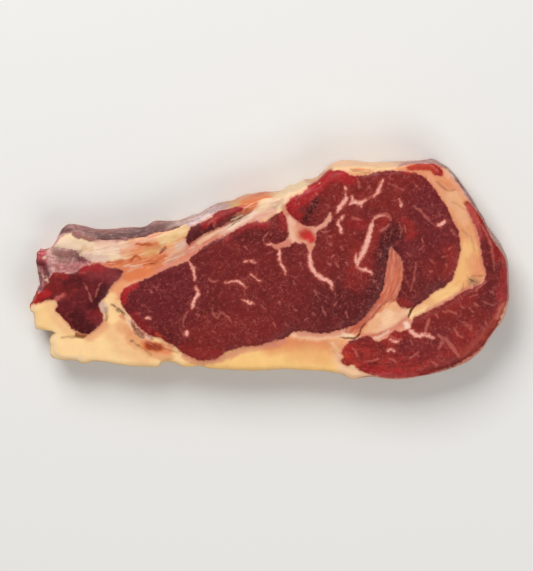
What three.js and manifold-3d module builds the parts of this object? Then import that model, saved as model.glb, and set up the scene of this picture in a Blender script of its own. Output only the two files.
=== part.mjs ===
// A raw ribeye steak that lies flat, with its better cut face up.
//
// Millimetres, +Z up. +X runs along the steak to its thick round end and +Y points to the rib side.
// The origin is under the middle of the steak's box, on the surface that it lies on.
//
// The steak is one piece of flesh, so it is one solid. Its underside is flat and its wall nearly
// upright, with a rounded rim. The cut face is a little wavy and thins out to the rib end. The
// muscles stand just proud of the fat between them, a hollow drops to the thin flap at the rib
// end, and cracks part the fat from the muscles.

import * as THREE from "three";
import { mergeVertices } from "three/addons/utils/BufferGeometryUtils.js";
import Module from "manifold-3d";

const wasm = await Module();
wasm.setup();

// Driving dimensions.
const LENGTH = 250;
const WIDTH = 115;
const THICKNESS = 25; // up to the fat of the cut face, at the thick end
const RIB_END_THINNING = 2.5; // how much lower the face lies at the rib end
const MUSCLE_RISE = 1.3; // how far the muscles stand above the fat
const MUSCLE_STEP_UP = 0.5; // the part of that rise that is a sharp step at their edges
const MUSCLE_SHOULDER = 4; // width of the rounded edge that makes up the rest
const FACE_WAVE = 0.45; // height of the long waves that the knife left
const WALL_WAVE = 0.5; // depth of the waves in the wall
const WALL_BULGE = 0.9; // how far the soft wall bulges past the edge of the cut face
const HOLLOW_DEPTH = 11.5; // drop from the face to the flap
const RIB_WALL_LEAN = 2.2; // how far the rib side's wall leans out at its foot
const SHOULDER_OVERHANG = 2.8; // how far the face overhangs the wall at the high corner
const CRACK_DEPTH = 6;

// Fineness of the facets: cells of the cut face, steps round the rim and round each muscle.
const FACE_CELL = 4.1;
const RIM_STEP = 2.7;
const MUSCLE_STEP = 3;

// The outline of the whole steak, walked anticlockwise as seen from above, in named stretches.
const FAT_EDGE = [
  [-111.5, -46.4], [-100, -46.5], [-98.6, -47.8], [-96.5, -48], [-93, -47.1], [-77.5, -48],
  [-59, -49.4], [-57.4, -48.8], [-56.6, -46.8], [-51.5, -46.4], [-47.5, -47.8], [-46, -49],
  [-40.5, -49.5], [-36, -48.5], [-28, -50], [-4.5, -51], [16.5, -50.5], [29.5, -51.5],
  [40, -53], [44.5, -55.5],
];
const ROUND_END = [
  [54, -54.5], [63, -55.5], [74.5, -55], [84, -53], [97, -49.5], [105.5, -45.5],
  [110.5, -40.5], [114.5, -34.5], [120.5, -25], [123.4, -16], [124.2, -7.5], [123.9, -3.5],
  [123, 6], [121, 11], [115.5, 18.5], [109, 29.8], [104.8, 37], [98.8, 46], [94.5, 50.2],
  [89.5, 53.5], [85, 55.5],
];
const HIGH_EDGE = [
  [81.5, 55], [68.5, 54.5], [55.5, 54.5], [40, 55], [34, 54], [30.5, 51.5], [26, 46.5],
  [22.5, 45], [19, 45], [14, 42.5], [10.5, 42], [8, 39.5],
];
const RIB_SIDE = [
  [-0.5, 39], [-5.5, 38], [-15, 36], [-19, 34], [-25.5, 32.5], [-31.5, 29.5], [-36, 27],
  [-41, 26], [-47.5, 23.5], [-54, 23], [-60, 23], [-64, 20.5], [-72.5, 19.5], [-85.5, 18.5],
  [-91, 19], [-96.5, 20.6], [-102.5, 21.7], [-106.6, 21.2], [-109.8, 18.4], [-111.8, 14],
];
const FLAP_EDGE = [
  [-113.4, 10], [-117.5, 8.2], [-121, 8.6], [-121.6, 4.5], [-120.4, 0], [-119.2, -6.5],
];
const FAT_STUB = [
  [-119.2, -8.8], [-120.8, -10.6], [-121.6, -14], [-122.8, -15.8], [-124.6, -17.6],
  [-124.4, -21], [-122.6, -21.6], [-122.2, -24], [-122.2, -30.2], [-121.4, -30.9],
  [-114, -31.4], [-111, -32.4], [-110.8, -33.2], [-113, -34.6], [-114.2, -37.2],
  [-113.6, -39], [-114, -44], [-113.2, -45.4],
];
const OUTLINE = [FAT_EDGE, ROUND_END, HIGH_EDGE, RIB_SIDE, FLAP_EDGE, FAT_STUB].flat();

// The muscles that the cut face shows, each as the outline of its lean meat.
const MUSCLES = {
  eye: [
    [-77, -13], [-71, -21], [-66, -27], [-60, -33], [-50, -39], [-44, -43], [-38, -46],
    [-33, -47], [-27, -46], [-20, -42], [-11, -39], [-3, -38], [6, -35], [12, -31], [19, -31],
    [26, -32], [38, -29], [48, -25], [55, -18], [58, -10], [60, -5], [62, 9], [64, 14],
    [68, 9], [70, 1], [69, -7], [67, -14], [70, -18], [77, -16], [86, -8], [93, -4], [96, 0],
    [99, 9], [99, 18], [97, 27], [91, 37], [84, 45], [77, 52], [70, 54], [55, 53], [48, 51],
    [40, 54], [32, 52], [26, 48], [15, 41], [10, 39], [9, 35], [13, 30], [23, 23], [21, 18],
    [16, 16], [11, 18], [10, 25], [8, 32], [4, 32], [0, 27], [-10, 27], [-17, 21], [-28, 17],
    [-36, 13], [-43, 7], [-54, 3], [-68, -4], [-76, -9],
  ],
  cap: [
    [38, -42], [37, -46], [40, -49], [48, -51], [60, -54], [70, -54], [79, -53], [88, -51],
    [102, -45], [111, -36], [118, -25], [122, -16], [124, -6], [123, 5], [119, 14], [109, 30],
    [103, 36], [102, 33], [108, 23], [110, 13], [111, 5], [114, -2], [110, -6], [104, -10],
    [94, -17], [83, -22], [73, -27], [69, -30], [65, -30], [59, -35], [54, -35], [50, -33],
    [42, -35],
  ],
  rib: [
    [-121, -12], [-121, -15], [-115, -14], [-111, -14], [-111, -19], [-105, -25], [-98, -31],
    [-93, -32], [-87, -26], [-86, -21], [-87, -15], [-82, -8], [-77, -1], [-77, 2], [-84, 4],
    [-90, 5], [-95, 4], [-100, 2], [-105, 1], [-110, 1], [-114, -1], [-117, -7], [-120, -11],
  ],
  intercostal: [
    [-43, 18], [-38, 18], [-32, 21], [-27, 24], [-21, 28], [-14, 33], [-17, 34], [-25, 33],
    [-31, 28], [-37, 26], [-42, 22],
  ],
};

// The hollow between the rib end and its flap, which runs out over the edge.
const HOLLOW = [
  [-92, 5], [-96, 7], [-99, 10], [-103, 12], [-108, 12.5], [-113, 13], [-130, 14.5],
  [-130, -10], [-120, -10], [-117, -7], [-114, -1], [-110, 1], [-100, 1], [-95, 3],
];

// Cracks in the cut face, each as its route and its greatest width.
const CRACKS = [
  { route: [[37, -34], [43, -33.5], [47, -32], [49, -27], [52, -22]], width: 1.3 },
  { route: [[73.5, -22.5], [75, -20], [77, -16]], width: 1.5 },
  { route: [[-112, -32.5], [-103, -33.5], [-97, -34], [-91, -34]], width: 1.2 },
  { route: [[-99, -31.5], [-97.5, -33], [-94, -34]], width: 1.6 },
  { route: [[-81, -17], [-76, -20], [-71, -27], [-66, -33], [-60, -38.5]], width: 1.8 },
  { route: [[-93, -20], [-89, -14], [-85, -9]], width: 1.6 },
  { route: [[104, -6], [108, -3.5], [111, -7]], width: 1.6 },
];

// Turns a hand-drawn outline into an evenly stepped, anticlockwise ring of points.
function ringOf(points, step) {
  const corners = points.map(([x, y]) => new THREE.Vector3(x, y, 0));
  const curve = new THREE.CatmullRomCurve3(corners, true, "centripetal");
  const count = Math.round(curve.getLength() / step);
  const ring = curve.getSpacedPoints(count).slice(0, count);
  return ring.map((p) => new THREE.Vector2(p.x, p.y));
}

// The same, but with a point of the ring on each corner of the outline, which keeps it sharp.
function crispRingOf(points, step) {
  const corners = points.map(([x, y]) => new THREE.Vector3(x, y, 0));
  const curve = new THREE.CatmullRomCurve3(corners, true, "centripetal");
  return corners.flatMap((corner, i) => {
    const next = corners[(i + 1) % corners.length];
    const count = Math.max(1, Math.round(corner.distanceTo(next) / step));
    return Array.from({ length: count }, (_, k) => {
      const p = curve.getPoint((i + k / count) / corners.length);
      return new THREE.Vector2(p.x, p.y);
    });
  });
}

// The ring with its small bends eased out, so that it can be drawn inwards without crossing.
function eased(ring, passes) {
  let now = ring;
  for (let pass = 0; pass < passes; pass++) {
    now = now.map((p, i) => {
      const before = now[(i + now.length - 1) % now.length];
      const after = now[(i + 1) % now.length];
      return p.clone().multiplyScalar(2).add(before).add(after).multiplyScalar(0.25);
    });
  }
  return now;
}

// Draws a ring inwards. inset(x, y, share) is the distance, with share the way round the ring.
function drawnIn(ring, inset) {
  const EASE_DISTANCE = 2.5; // a ring drawn in this far has lost its small bends
  const soft = eased(ring, 12);
  return ring.map((p, i) => {
    const before = soft[(i + soft.length - 2) % soft.length];
    const after = soft[(i + 2) % soft.length];
    const inward = new THREE.Vector2(before.y - after.y, after.x - before.x).normalize();
    const distance = inset(p.x, p.y, i / ring.length);
    const ease = THREE.MathUtils.clamp(distance / EASE_DISTANCE, 0, 1);
    return p.clone().lerp(soft[i], ease).addScaledVector(inward, distance);
  });
}

// A closed solid through rings of equal count, from the lowest up.
function stack(rings) {
  const count = rings[0].length;
  const positions = rings.flatMap((ring) => ring.flatMap((p) => [p.x, p.y, p.z]));
  const faces = [];
  for (let k = 0; k + 1 < rings.length; k++) {
    for (let i = 0; i < count; i++) {
      const a = k * count + i;
      const b = k * count + ((i + 1) % count);
      faces.push([a, b, b + count], [a, b + count, a + count]);
    }
  }
  const floor = THREE.ShapeUtils.triangulateShape(rings[0], []);
  const top = THREE.ShapeUtils.triangulateShape(rings.at(-1), []);
  const topStart = (rings.length - 1) * count;
  floor.forEach(([a, b, c]) => faces.push([c, b, a]));
  top.forEach(([a, b, c]) => faces.push([a + topStart, b + topStart, c + topStart]));
  return new THREE.BufferGeometry()
    .setAttribute("position", new THREE.Float32BufferAttribute(positions, 3))
    .setIndex(faces.flat());
}

// A three.js geometry as a solid that can be joined and cut.
function solid(geometry) {
  const bare = new THREE.BufferGeometry()
    .setAttribute("position", geometry.getAttribute("position"))
    .setIndex(geometry.index);
  const merged = mergeVertices(bare, 1e-4);
  const vertProperties = merged.getAttribute("position").array;
  const triVerts = new Uint32Array(merged.index.array);
  return new wasm.Manifold(new wasm.Mesh({ numProp: 3, vertProperties, triVerts }));
}

// Distance from a point to a closed ring, positive inside it.
function depthInside(ring, x, y) {
  let nearest = Infinity;
  let inside = false;
  ring.forEach((a, i) => {
    const b = ring[(i + 1) % ring.length];
    const along = ((x - a.x) * (b.x - a.x) + (y - a.y) * (b.y - a.y)) / a.distanceToSquared(b);
    const t = THREE.MathUtils.clamp(along, 0, 1);
    const gap = Math.hypot(a.x + t * (b.x - a.x) - x, a.y + t * (b.y - a.y) - y);
    nearest = Math.min(nearest, gap);
    if (a.y > y !== b.y > y && x < a.x + ((y - a.y) * (b.x - a.x)) / (b.y - a.y)) {
      inside = !inside;
    }
  });
  return inside ? nearest : -nearest;
}

const hollowRing = ringOf(HOLLOW, MUSCLE_STEP);
const muscleRings = Object.values(MUSCLES).map((points) => ringOf(points, MUSCLE_STEP));

// How far the hollow drops below the face: steep at its sides, and shallow at its inner tip.
function hollowDrop(x, y) {
  const SIDE = 3.5; // width of the hollow's sloping side
  const side = THREE.MathUtils.smoothstep(depthInside(hollowRing, x, y), -0.5, SIDE);
  const runOut = THREE.MathUtils.smoothstep(-x, 93, 112);
  return HOLLOW_DEPTH * side * (0.45 + 0.55 * runOut);
}

// Height of the fat on the cut face.
function fatHeight(x, y) {
  const thinning = RIB_END_THINNING * THREE.MathUtils.smoothstep(-x, 20, 120);
  const along = Math.sin(x / 19 + 0.8) * Math.cos(y / 15 - 0.4);
  const across = 0.6 * Math.sin(y / 9 + x / 31);
  return THICKNESS - thinning + FACE_WAVE * (along + across) - hollowDrop(x, y);
}

// Height of the muscles on the cut face: a small step at their edges, then a rounded shoulder.
function muscleHeight(x, y) {
  const depth = Math.max(...muscleRings.map((ring) => depthInside(ring, x, y)));
  const shoulder = THREE.MathUtils.clamp(depth / MUSCLE_SHOULDER, 0, 1);
  return fatHeight(x, y) + MUSCLE_STEP_UP + (MUSCLE_RISE - MUSCLE_STEP_UP) * Math.sqrt(shoulder);
}

// All that lies under a height, as a slab that is wider than the steak.
function slabUnder(height) {
  const MARGIN = 8;
  const length = LENGTH + MARGIN;
  const width = WIDTH + MARGIN;
  const cells = [length, width].map((size) => Math.round(size / FACE_CELL));
  const slab = new THREE.BoxGeometry(length, width, 2, ...cells, 1);
  const position = slab.getAttribute("position");
  for (let i = 0; i < position.count; i++) {
    const isTop = position.getZ(i) > 0;
    position.setZ(i, isTop ? height(position.getX(i), position.getY(i)) : -1);
  }
  return solid(slab);
}

// How far the face's edge lies inside the wall's foot: the rib side leans out at its foot, and
// the high corner hangs over it.
function lean(x, y) {
  if (y < 0) return 0;
  const { smoothstep } = THREE.MathUtils;
  const ribSide = smoothstep(-x, 42, 58) * smoothstep(x, -113, -104);
  const corner = smoothstep(x, 62, 74) * smoothstep(-x, -97, -90);
  return RIB_WALL_LEAN * ribSide - SHOULDER_OVERHANG * corner;
}

// How far the wall bulges, which it doesn't at the cleanly cut rib end.
function bulge(x) {
  return WALL_BULGE * (1 - THREE.MathUtils.smoothstep(-x, 102, 112));
}

// Everything inside the wall, with a rounded rim above and a small one below.
function insideWall() {
  const ring = crispRingOf(OUTLINE, RIM_STEP);
  const profile = [ // height where the steak is thick, and how far the wall has drawn in there
    [0, 1.8], [1.8, 0.7], [8, 0.4], [15.5, 0.2], [THICKNESS - 3.2, -0.3],
    [THICKNESS - 1.5, 0.1], [THICKNESS - 0.4, 1], [THICKNESS + 0.7, 2.3], [THICKNESS + 3, 3],
  ];
  const levels = profile.map(([level, inset]) => {
    const drawn = drawnIn(ring, (x, y, share) => {
      const turn = share * 2 * Math.PI;
      const wave = Math.sin(turn * 19 + level * 0.3) * Math.sin(turn * 7 - level * 0.2 + 1);
      const free = level > 0 && level < THICKNESS ? WALL_WAVE : 0;
      return inset - bulge(x) + (lean(x, y) * level) / THICKNESS + free * wave;
    });
    return drawn.map((p, i) => {
      const share = fatHeight(ring[i].x, ring[i].y) / THICKNESS;
      return new THREE.Vector3(p.x, p.y, level * share);
    });
  });
  const lid = levels.at(-1).map((p) => new THREE.Vector3(p.x, p.y, THICKNESS + 5));
  return solid(stack([...levels, lid]));
}

// A muscle's lean meat, as a column from deep in the slab to well above the face.
function column(ring) {
  const ROOT = 4;
  return solid(stack([ROOT, THICKNESS + ROOT].map((z) => (
    ring.map((p) => new THREE.Vector3(p.x, p.y, z))
  ))));
}

// The cutter of a crack: an upright blade, wide in the middle of its route and sharp at its ends.
function crack({ route, width }) {
  const POINTS = 12;
  const curve = new THREE.SplineCurve(route.map(([x, y]) => new THREE.Vector2(x, y)));
  const middle = curve.getPoints(POINTS);
  const side = (sign) => middle.map((p, i) => {
    const tangent = curve.getTangent(i / POINTS);
    const half = (width / 2) * Math.sqrt(Math.sin((Math.PI * i) / POINTS));
    return new THREE.Vector2(p.x - sign * tangent.y * half, p.y + sign * tangent.x * half);
  });
  const blade = new THREE.Shape([...side(-1), ...side(1).slice(1, -1).reverse()]);
  const geometry = new THREE.ExtrudeGeometry(blade, { depth: 20, bevelEnabled: false, steps: 1 });
  const [x, y] = route[Math.floor(route.length / 2)];
  geometry.translate(0, 0, fatHeight(x, y) - CRACK_DEPTH);
  geometry.deleteAttribute("normal");
  geometry.deleteAttribute("uv");
  return solid(mergeVertices(geometry));
}

function steakGeometry() {
  const muscles = muscleRings.map(column).reduce((all, one) => all.add(one));
  const flesh = slabUnder(fatHeight).add(muscles.intersect(slabUnder(muscleHeight)));
  const uncut = flesh.intersect(insideWall());
  const whole = CRACKS.reduce((all, one) => all.subtract(crack(one)), uncut);
  const mesh = whole.getMesh();
  const geometry = new THREE.BufferGeometry()
    .setAttribute("position", new THREE.BufferAttribute(mesh.vertProperties, 3))
    .setIndex(new THREE.BufferAttribute(mesh.triVerts, 1));
  geometry.computeVertexNormals();
  geometry.computeBoundingBox();
  const middle = geometry.boundingBox.getCenter(new THREE.Vector3());
  return geometry.translate(-middle.x, -middle.y, -geometry.boundingBox.min.z);
}

const rawMeat = new THREE.MeshStandardMaterial({ color: 0x7a2226, roughness: 0.4, metalness: 0 });

const steak = new THREE.Mesh(steakGeometry(), rawMeat);
steak.name = "steak";

const part = new THREE.Group();
part.add(steak);

export default part;
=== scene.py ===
import math

import bpy
import numpy as np
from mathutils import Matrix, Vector, noise


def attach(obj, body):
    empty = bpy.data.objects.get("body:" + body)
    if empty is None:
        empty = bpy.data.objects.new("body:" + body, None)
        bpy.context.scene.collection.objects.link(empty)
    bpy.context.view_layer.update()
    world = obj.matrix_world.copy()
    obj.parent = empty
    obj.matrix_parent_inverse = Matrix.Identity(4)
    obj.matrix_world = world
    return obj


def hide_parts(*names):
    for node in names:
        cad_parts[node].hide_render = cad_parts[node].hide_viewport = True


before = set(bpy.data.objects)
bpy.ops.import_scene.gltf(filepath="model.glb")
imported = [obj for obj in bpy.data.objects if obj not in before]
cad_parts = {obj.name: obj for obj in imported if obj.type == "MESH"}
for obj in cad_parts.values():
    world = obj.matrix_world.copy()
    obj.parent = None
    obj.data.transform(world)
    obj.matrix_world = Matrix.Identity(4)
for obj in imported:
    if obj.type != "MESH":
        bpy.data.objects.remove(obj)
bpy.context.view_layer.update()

MM = 0.001

# ---------------------------------------------------------------- sizes, in millimetres

COARSE = 1.2  # spacing of the mesh before the cut face is refined
FACE_HEIGHT = 24.0  # height of the cut face, where hidden sides take their tissues from
RIB_END = (-112.0, -95.0)  # along the steak: the far left of the rib end, and where it has passed

TREMBLE = 0.6  # how far the edges of the tissues tremble
TINT_TREMBLE = 0.7  # the same for the edges of the tints
CRACK_TREMBLE = 0.4  # the same for the cracks
DRIFT = 0.5  # how far tints and strings wander off besides
FACE_DRIFT = 5.0  # how far the tissues wander as they run down through the steak
WALL_DRIFT = (7.0, 3.0)  # how far the walls' tints wander sideways, in broad lumps and in small
WALL_BLUR = 6.0  # how far the walls' tints run into each other at the table
END_WIDTH = 0.35  # width of a vein or a crack at its ends, as a share of its greatest width

# Heights of the relief.
LEAN_RISE = 0.04  # the lean over the fat
BUNDLE_RISE = 0.09  # bundles of fibres
GRAIN_RISE = 0.06  # the grain of the fibres
FAT_LUMP = 0.12
FAT_MOTTLE = 0.05
STRING_RISE = 0.22
SEAM_DIP = 0.06  # the seam between lean and fat
SEAM_WIDTH = 0.6
SEAM_PLACE = 0.1  # how far inside the lean the seam is deepest
VEIN_RISE = 0.05
WEDGE_RISE = 0.15
STAR_RISE = 0.10
WALL_SWELL = 0.40
WALL_MOTTLE = 0.12
FOLD_RISE = 0.5  # folds of the membrane in the hollow

# The upward part of the normal, from 0 to 1, at which things change.
RIM_TURN = (0.42, 0.78)  # where wall turns into cut face
LEVEL_TURN = (0.88, 0.98)  # where the wet sheen sets in
REFINED_TURN = 0.3  # above this the mesh is refined
SMOOTH_TURN = 0.8  # above this the cut face is smoothed

# The tissues are drawn on the camera's own grid, 533 squares wide and 571 high, counted from
# its top left corner. The camera looks down, tilted a little to the rib side.
SQUARE = 0.52138  # side of a square at the steak
TILT = math.radians(12)
GRID_MIDDLE = (269.25, 262.0)  # the grid's place over the origin of the steak

# ---------------------------------------------------------------- outlines of the tissues

EYE = [
    (120, 298), (121, 293), (125, 288), (130, 285), (137, 282.5), (150, 277), (165, 269.5),
    (187, 261), (195, 254), (205, 246), (215, 240.5), (225, 236), (235, 230.5), (245, 225),
    (255, 221.5), (265, 222), (270, 218), (277, 214), (283, 211), (287, 217), (288, 229),
    (289, 239), (300, 243), (309, 240), (314, 233), (303, 225), (294, 219), (287, 210),
    (287, 204), (292, 198), (303.5, 192.5), (311.5, 184), (317.5, 177), (323.5, 171), (333, 169.5),
    (345, 172.5), (353, 176), (364, 175.5), (379, 172), (395, 171.5), (409, 172), (421, 176),
    (429, 183.5), (437, 193.5), (445, 205.5), (454, 223), (458, 232), (460, 244), (459, 258),
    (455, 270), (451, 281), (444, 287.5), (435, 292), (425, 300), (417, 305.5), (409, 308),
    (399, 306), (396.5, 299), (401, 286), (403, 270), (401, 259), (394, 250), (390.5, 246.5),
    (388, 259), (385.5, 273), (384, 286), (379, 298), (371, 308.5), (365, 317), (355, 325),
    (341, 330), (323, 333.5), (305, 331.5), (295, 331.5), (285, 338.5), (275, 341), (262, 345),
    (241, 348), (227, 352.5), (215, 359.5), (201, 361), (186, 355.5), (176, 348.5), (167, 342.5),
    (158, 337.5), (149, 335), (142, 330), (134, 322), (126, 312), (121, 304),
]
CAP = [
    (464, 203), (469, 214), (474.5, 226), (479, 238), (481, 252), (483, 264), (486, 274),
    (484, 281), (477, 286), (466, 290), (456, 296), (443, 304), (431, 310), (420, 315),
    (414, 318.5), (412, 323), (410.5, 328), (404, 331.5), (394, 331), (388, 337), (377, 341),
    (369, 336), (359, 338), (352, 340), (348, 343), (344, 348), (341, 353), (344, 357),
    (341, 361),
    (346, 366), (354, 365), (359, 370), (367, 373), (380, 377), (395, 379), (413, 378),
    (435, 373), (455, 366), (472, 356), (487, 343), (499, 323), (504, 310), (508, 300),
    (512, 281), (511, 262), (505, 246), (495, 234), (484, 221), (474, 209), (467, 201.5),
]
RIB_MEAT = [
    (27, 293), (42, 288), (47, 281), (54, 272.5), (61, 270.5), (66, 273.5), (75, 272),
    (80, 268), (90, 265), (99, 263), (106, 267), (116, 268), (123, 270), (121, 276),
    (115, 282), (109, 289), (105, 297), (99, 303), (100, 310), (103, 316), (101, 324),
    (95, 329), (89, 334), (82, 333.5), (75, 331), (69, 326), (63, 319), (55, 310),
    (57, 304), (54, 299.5), (45, 301), (37, 303.5), (27, 305),
]
INTERCOSTAL = [
    (186, 243), (188, 233), (192, 227.5), (197, 224.5), (204, 221.5), (211, 218), (216, 213),
    (223, 209.5), (233, 207), (243, 208), (242, 211), (236, 214), (231, 218.5), (226, 224),
    (213, 230.5), (201, 236), (195, 240.5), (189, 245),
]
TOP_STRIP = [
    (405, 168), (413, 165), (421, 162.5), (429, 162.5), (437, 166.5), (442, 172), (441, 177),
    (435, 175.5), (429, 171.5), (419, 170.5), (409, 170.5),
]
PLAIN_LEAN = [RIB_MEAT, INTERCOSTAL, TOP_STRIP]  # has no threads of marbling
LEAN = [EYE, CAP, *PLAIN_LEAN]

# The wedge of gristly, salmon-coloured fat that runs up into the eye.
WEDGE = [
    (391, 246), (388, 258), (386, 271), (384, 285), (379, 298), (371, 309), (363, 319),
    (354, 327), (346, 332), (352, 332.5), (361, 327), (370, 318), (378, 308), (385, 302),
    (391, 301.5), (396, 299), (400, 287), (402.5, 271), (401, 260), (395, 251),
]
# The star of fat that opens from the rib side into the eye.
STAR = [
    (284, 206), (287, 210), (293, 218), (303, 224.5), (313, 227), (321, 224), (326, 219),
    (330, 213), (332.5, 216), (330, 222), (325, 227), (319, 230), (316, 233.5), (315.5, 240),
    (314, 248), (309, 250), (306, 244.5), (300, 242.5), (293, 243), (288, 247), (282, 247.5),
    (277, 250), (272, 245.5), (279, 243.5), (287, 239), (288, 229), (286, 218), (283, 210),
]
# The dip at the rib end, which membrane covers.
HOLLOW = [
    (30, 248), (38, 247.5), (51, 247.5), (64, 248), (72, 249.5), (78, 253), (86, 259),
    (93, 262.5), (86, 265), (79, 268.5), (75, 272), (66, 273), (61, 270.5), (54, 272),
    (46, 281), (41, 287), (28, 290), (26, 260),
]

# Veins of marbling: greatest width in millimetres, and route.
VEINS = [
    (2.4, (345, 194), (345, 200), (341, 206), (336, 213)),
    (1.2, (345, 187), (346, 191)),
    (2.2, (349, 205), (353, 202.5), (360, 203.5), (366, 200)),
    (1.9, (373, 197), (377, 193), (380, 186), (382.5, 180)),
    (1.2, (351, 195), (352, 199), (353, 203)),
    (1.2, (360, 202), (361, 208)),
    (2.8, (372, 223), (370, 231), (367, 242), (363, 253), (358, 262), (357, 267)),
    (1.1, (372, 221), (376, 217), (382, 215.5), (387, 217)),
    (1.9, (356, 266), (361, 269), (366, 270), (372, 274)),
    (2.6, (311, 246), (310, 254), (310, 263), (314, 272), (320, 277), (327, 280.5), (331, 283),
     (332, 290)),
    (1.5, (273, 245), (279, 249), (279, 257), (281, 264), (285, 271), (286, 275)),
    (1.2, (266, 243), (272, 245), (278, 249)),
    (1.6, (338, 222), (341, 219), (343, 216)),
    (2.0, (337, 223), (340, 228), (341, 233)),
    (1.2, (398, 199), (400, 203), (401, 208)),
    (2.4, (437, 225), (441, 224), (445, 221)),
    (1.7, (188, 261), (192, 266), (194, 272), (195, 280)),
    (1.8, (195, 286), (198, 293), (195, 299), (193, 303), (192, 309)),
    (2.2, (186.5, 331), (187, 336)),
    (1.5, (145, 318.5), (150, 318.5)),
    (1.5, (230, 282), (237, 280.5), (241, 283), (246, 288)),
    (0.9, (224, 283), (230, 282)),
    (1.4, (242, 300), (248, 302), (254, 303.5)),
    (1.2, (244, 262), (250, 261), (256, 263)),
    (1.0, (250, 273), (255, 278), (261, 281)),
    (2.1, (409, 329), (412, 333), (416, 336), (423, 335), (430, 336), (435, 338)),
    (2.4, (410, 330), (414, 334), (419, 336)),
    (1.8, (356, 254), (356, 260), (357, 266)),
    (1.6, (388, 351), (391, 349.5), (395, 352)),
    (1.2, (390, 339), (394, 341.5), (399, 341)),
]
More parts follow.
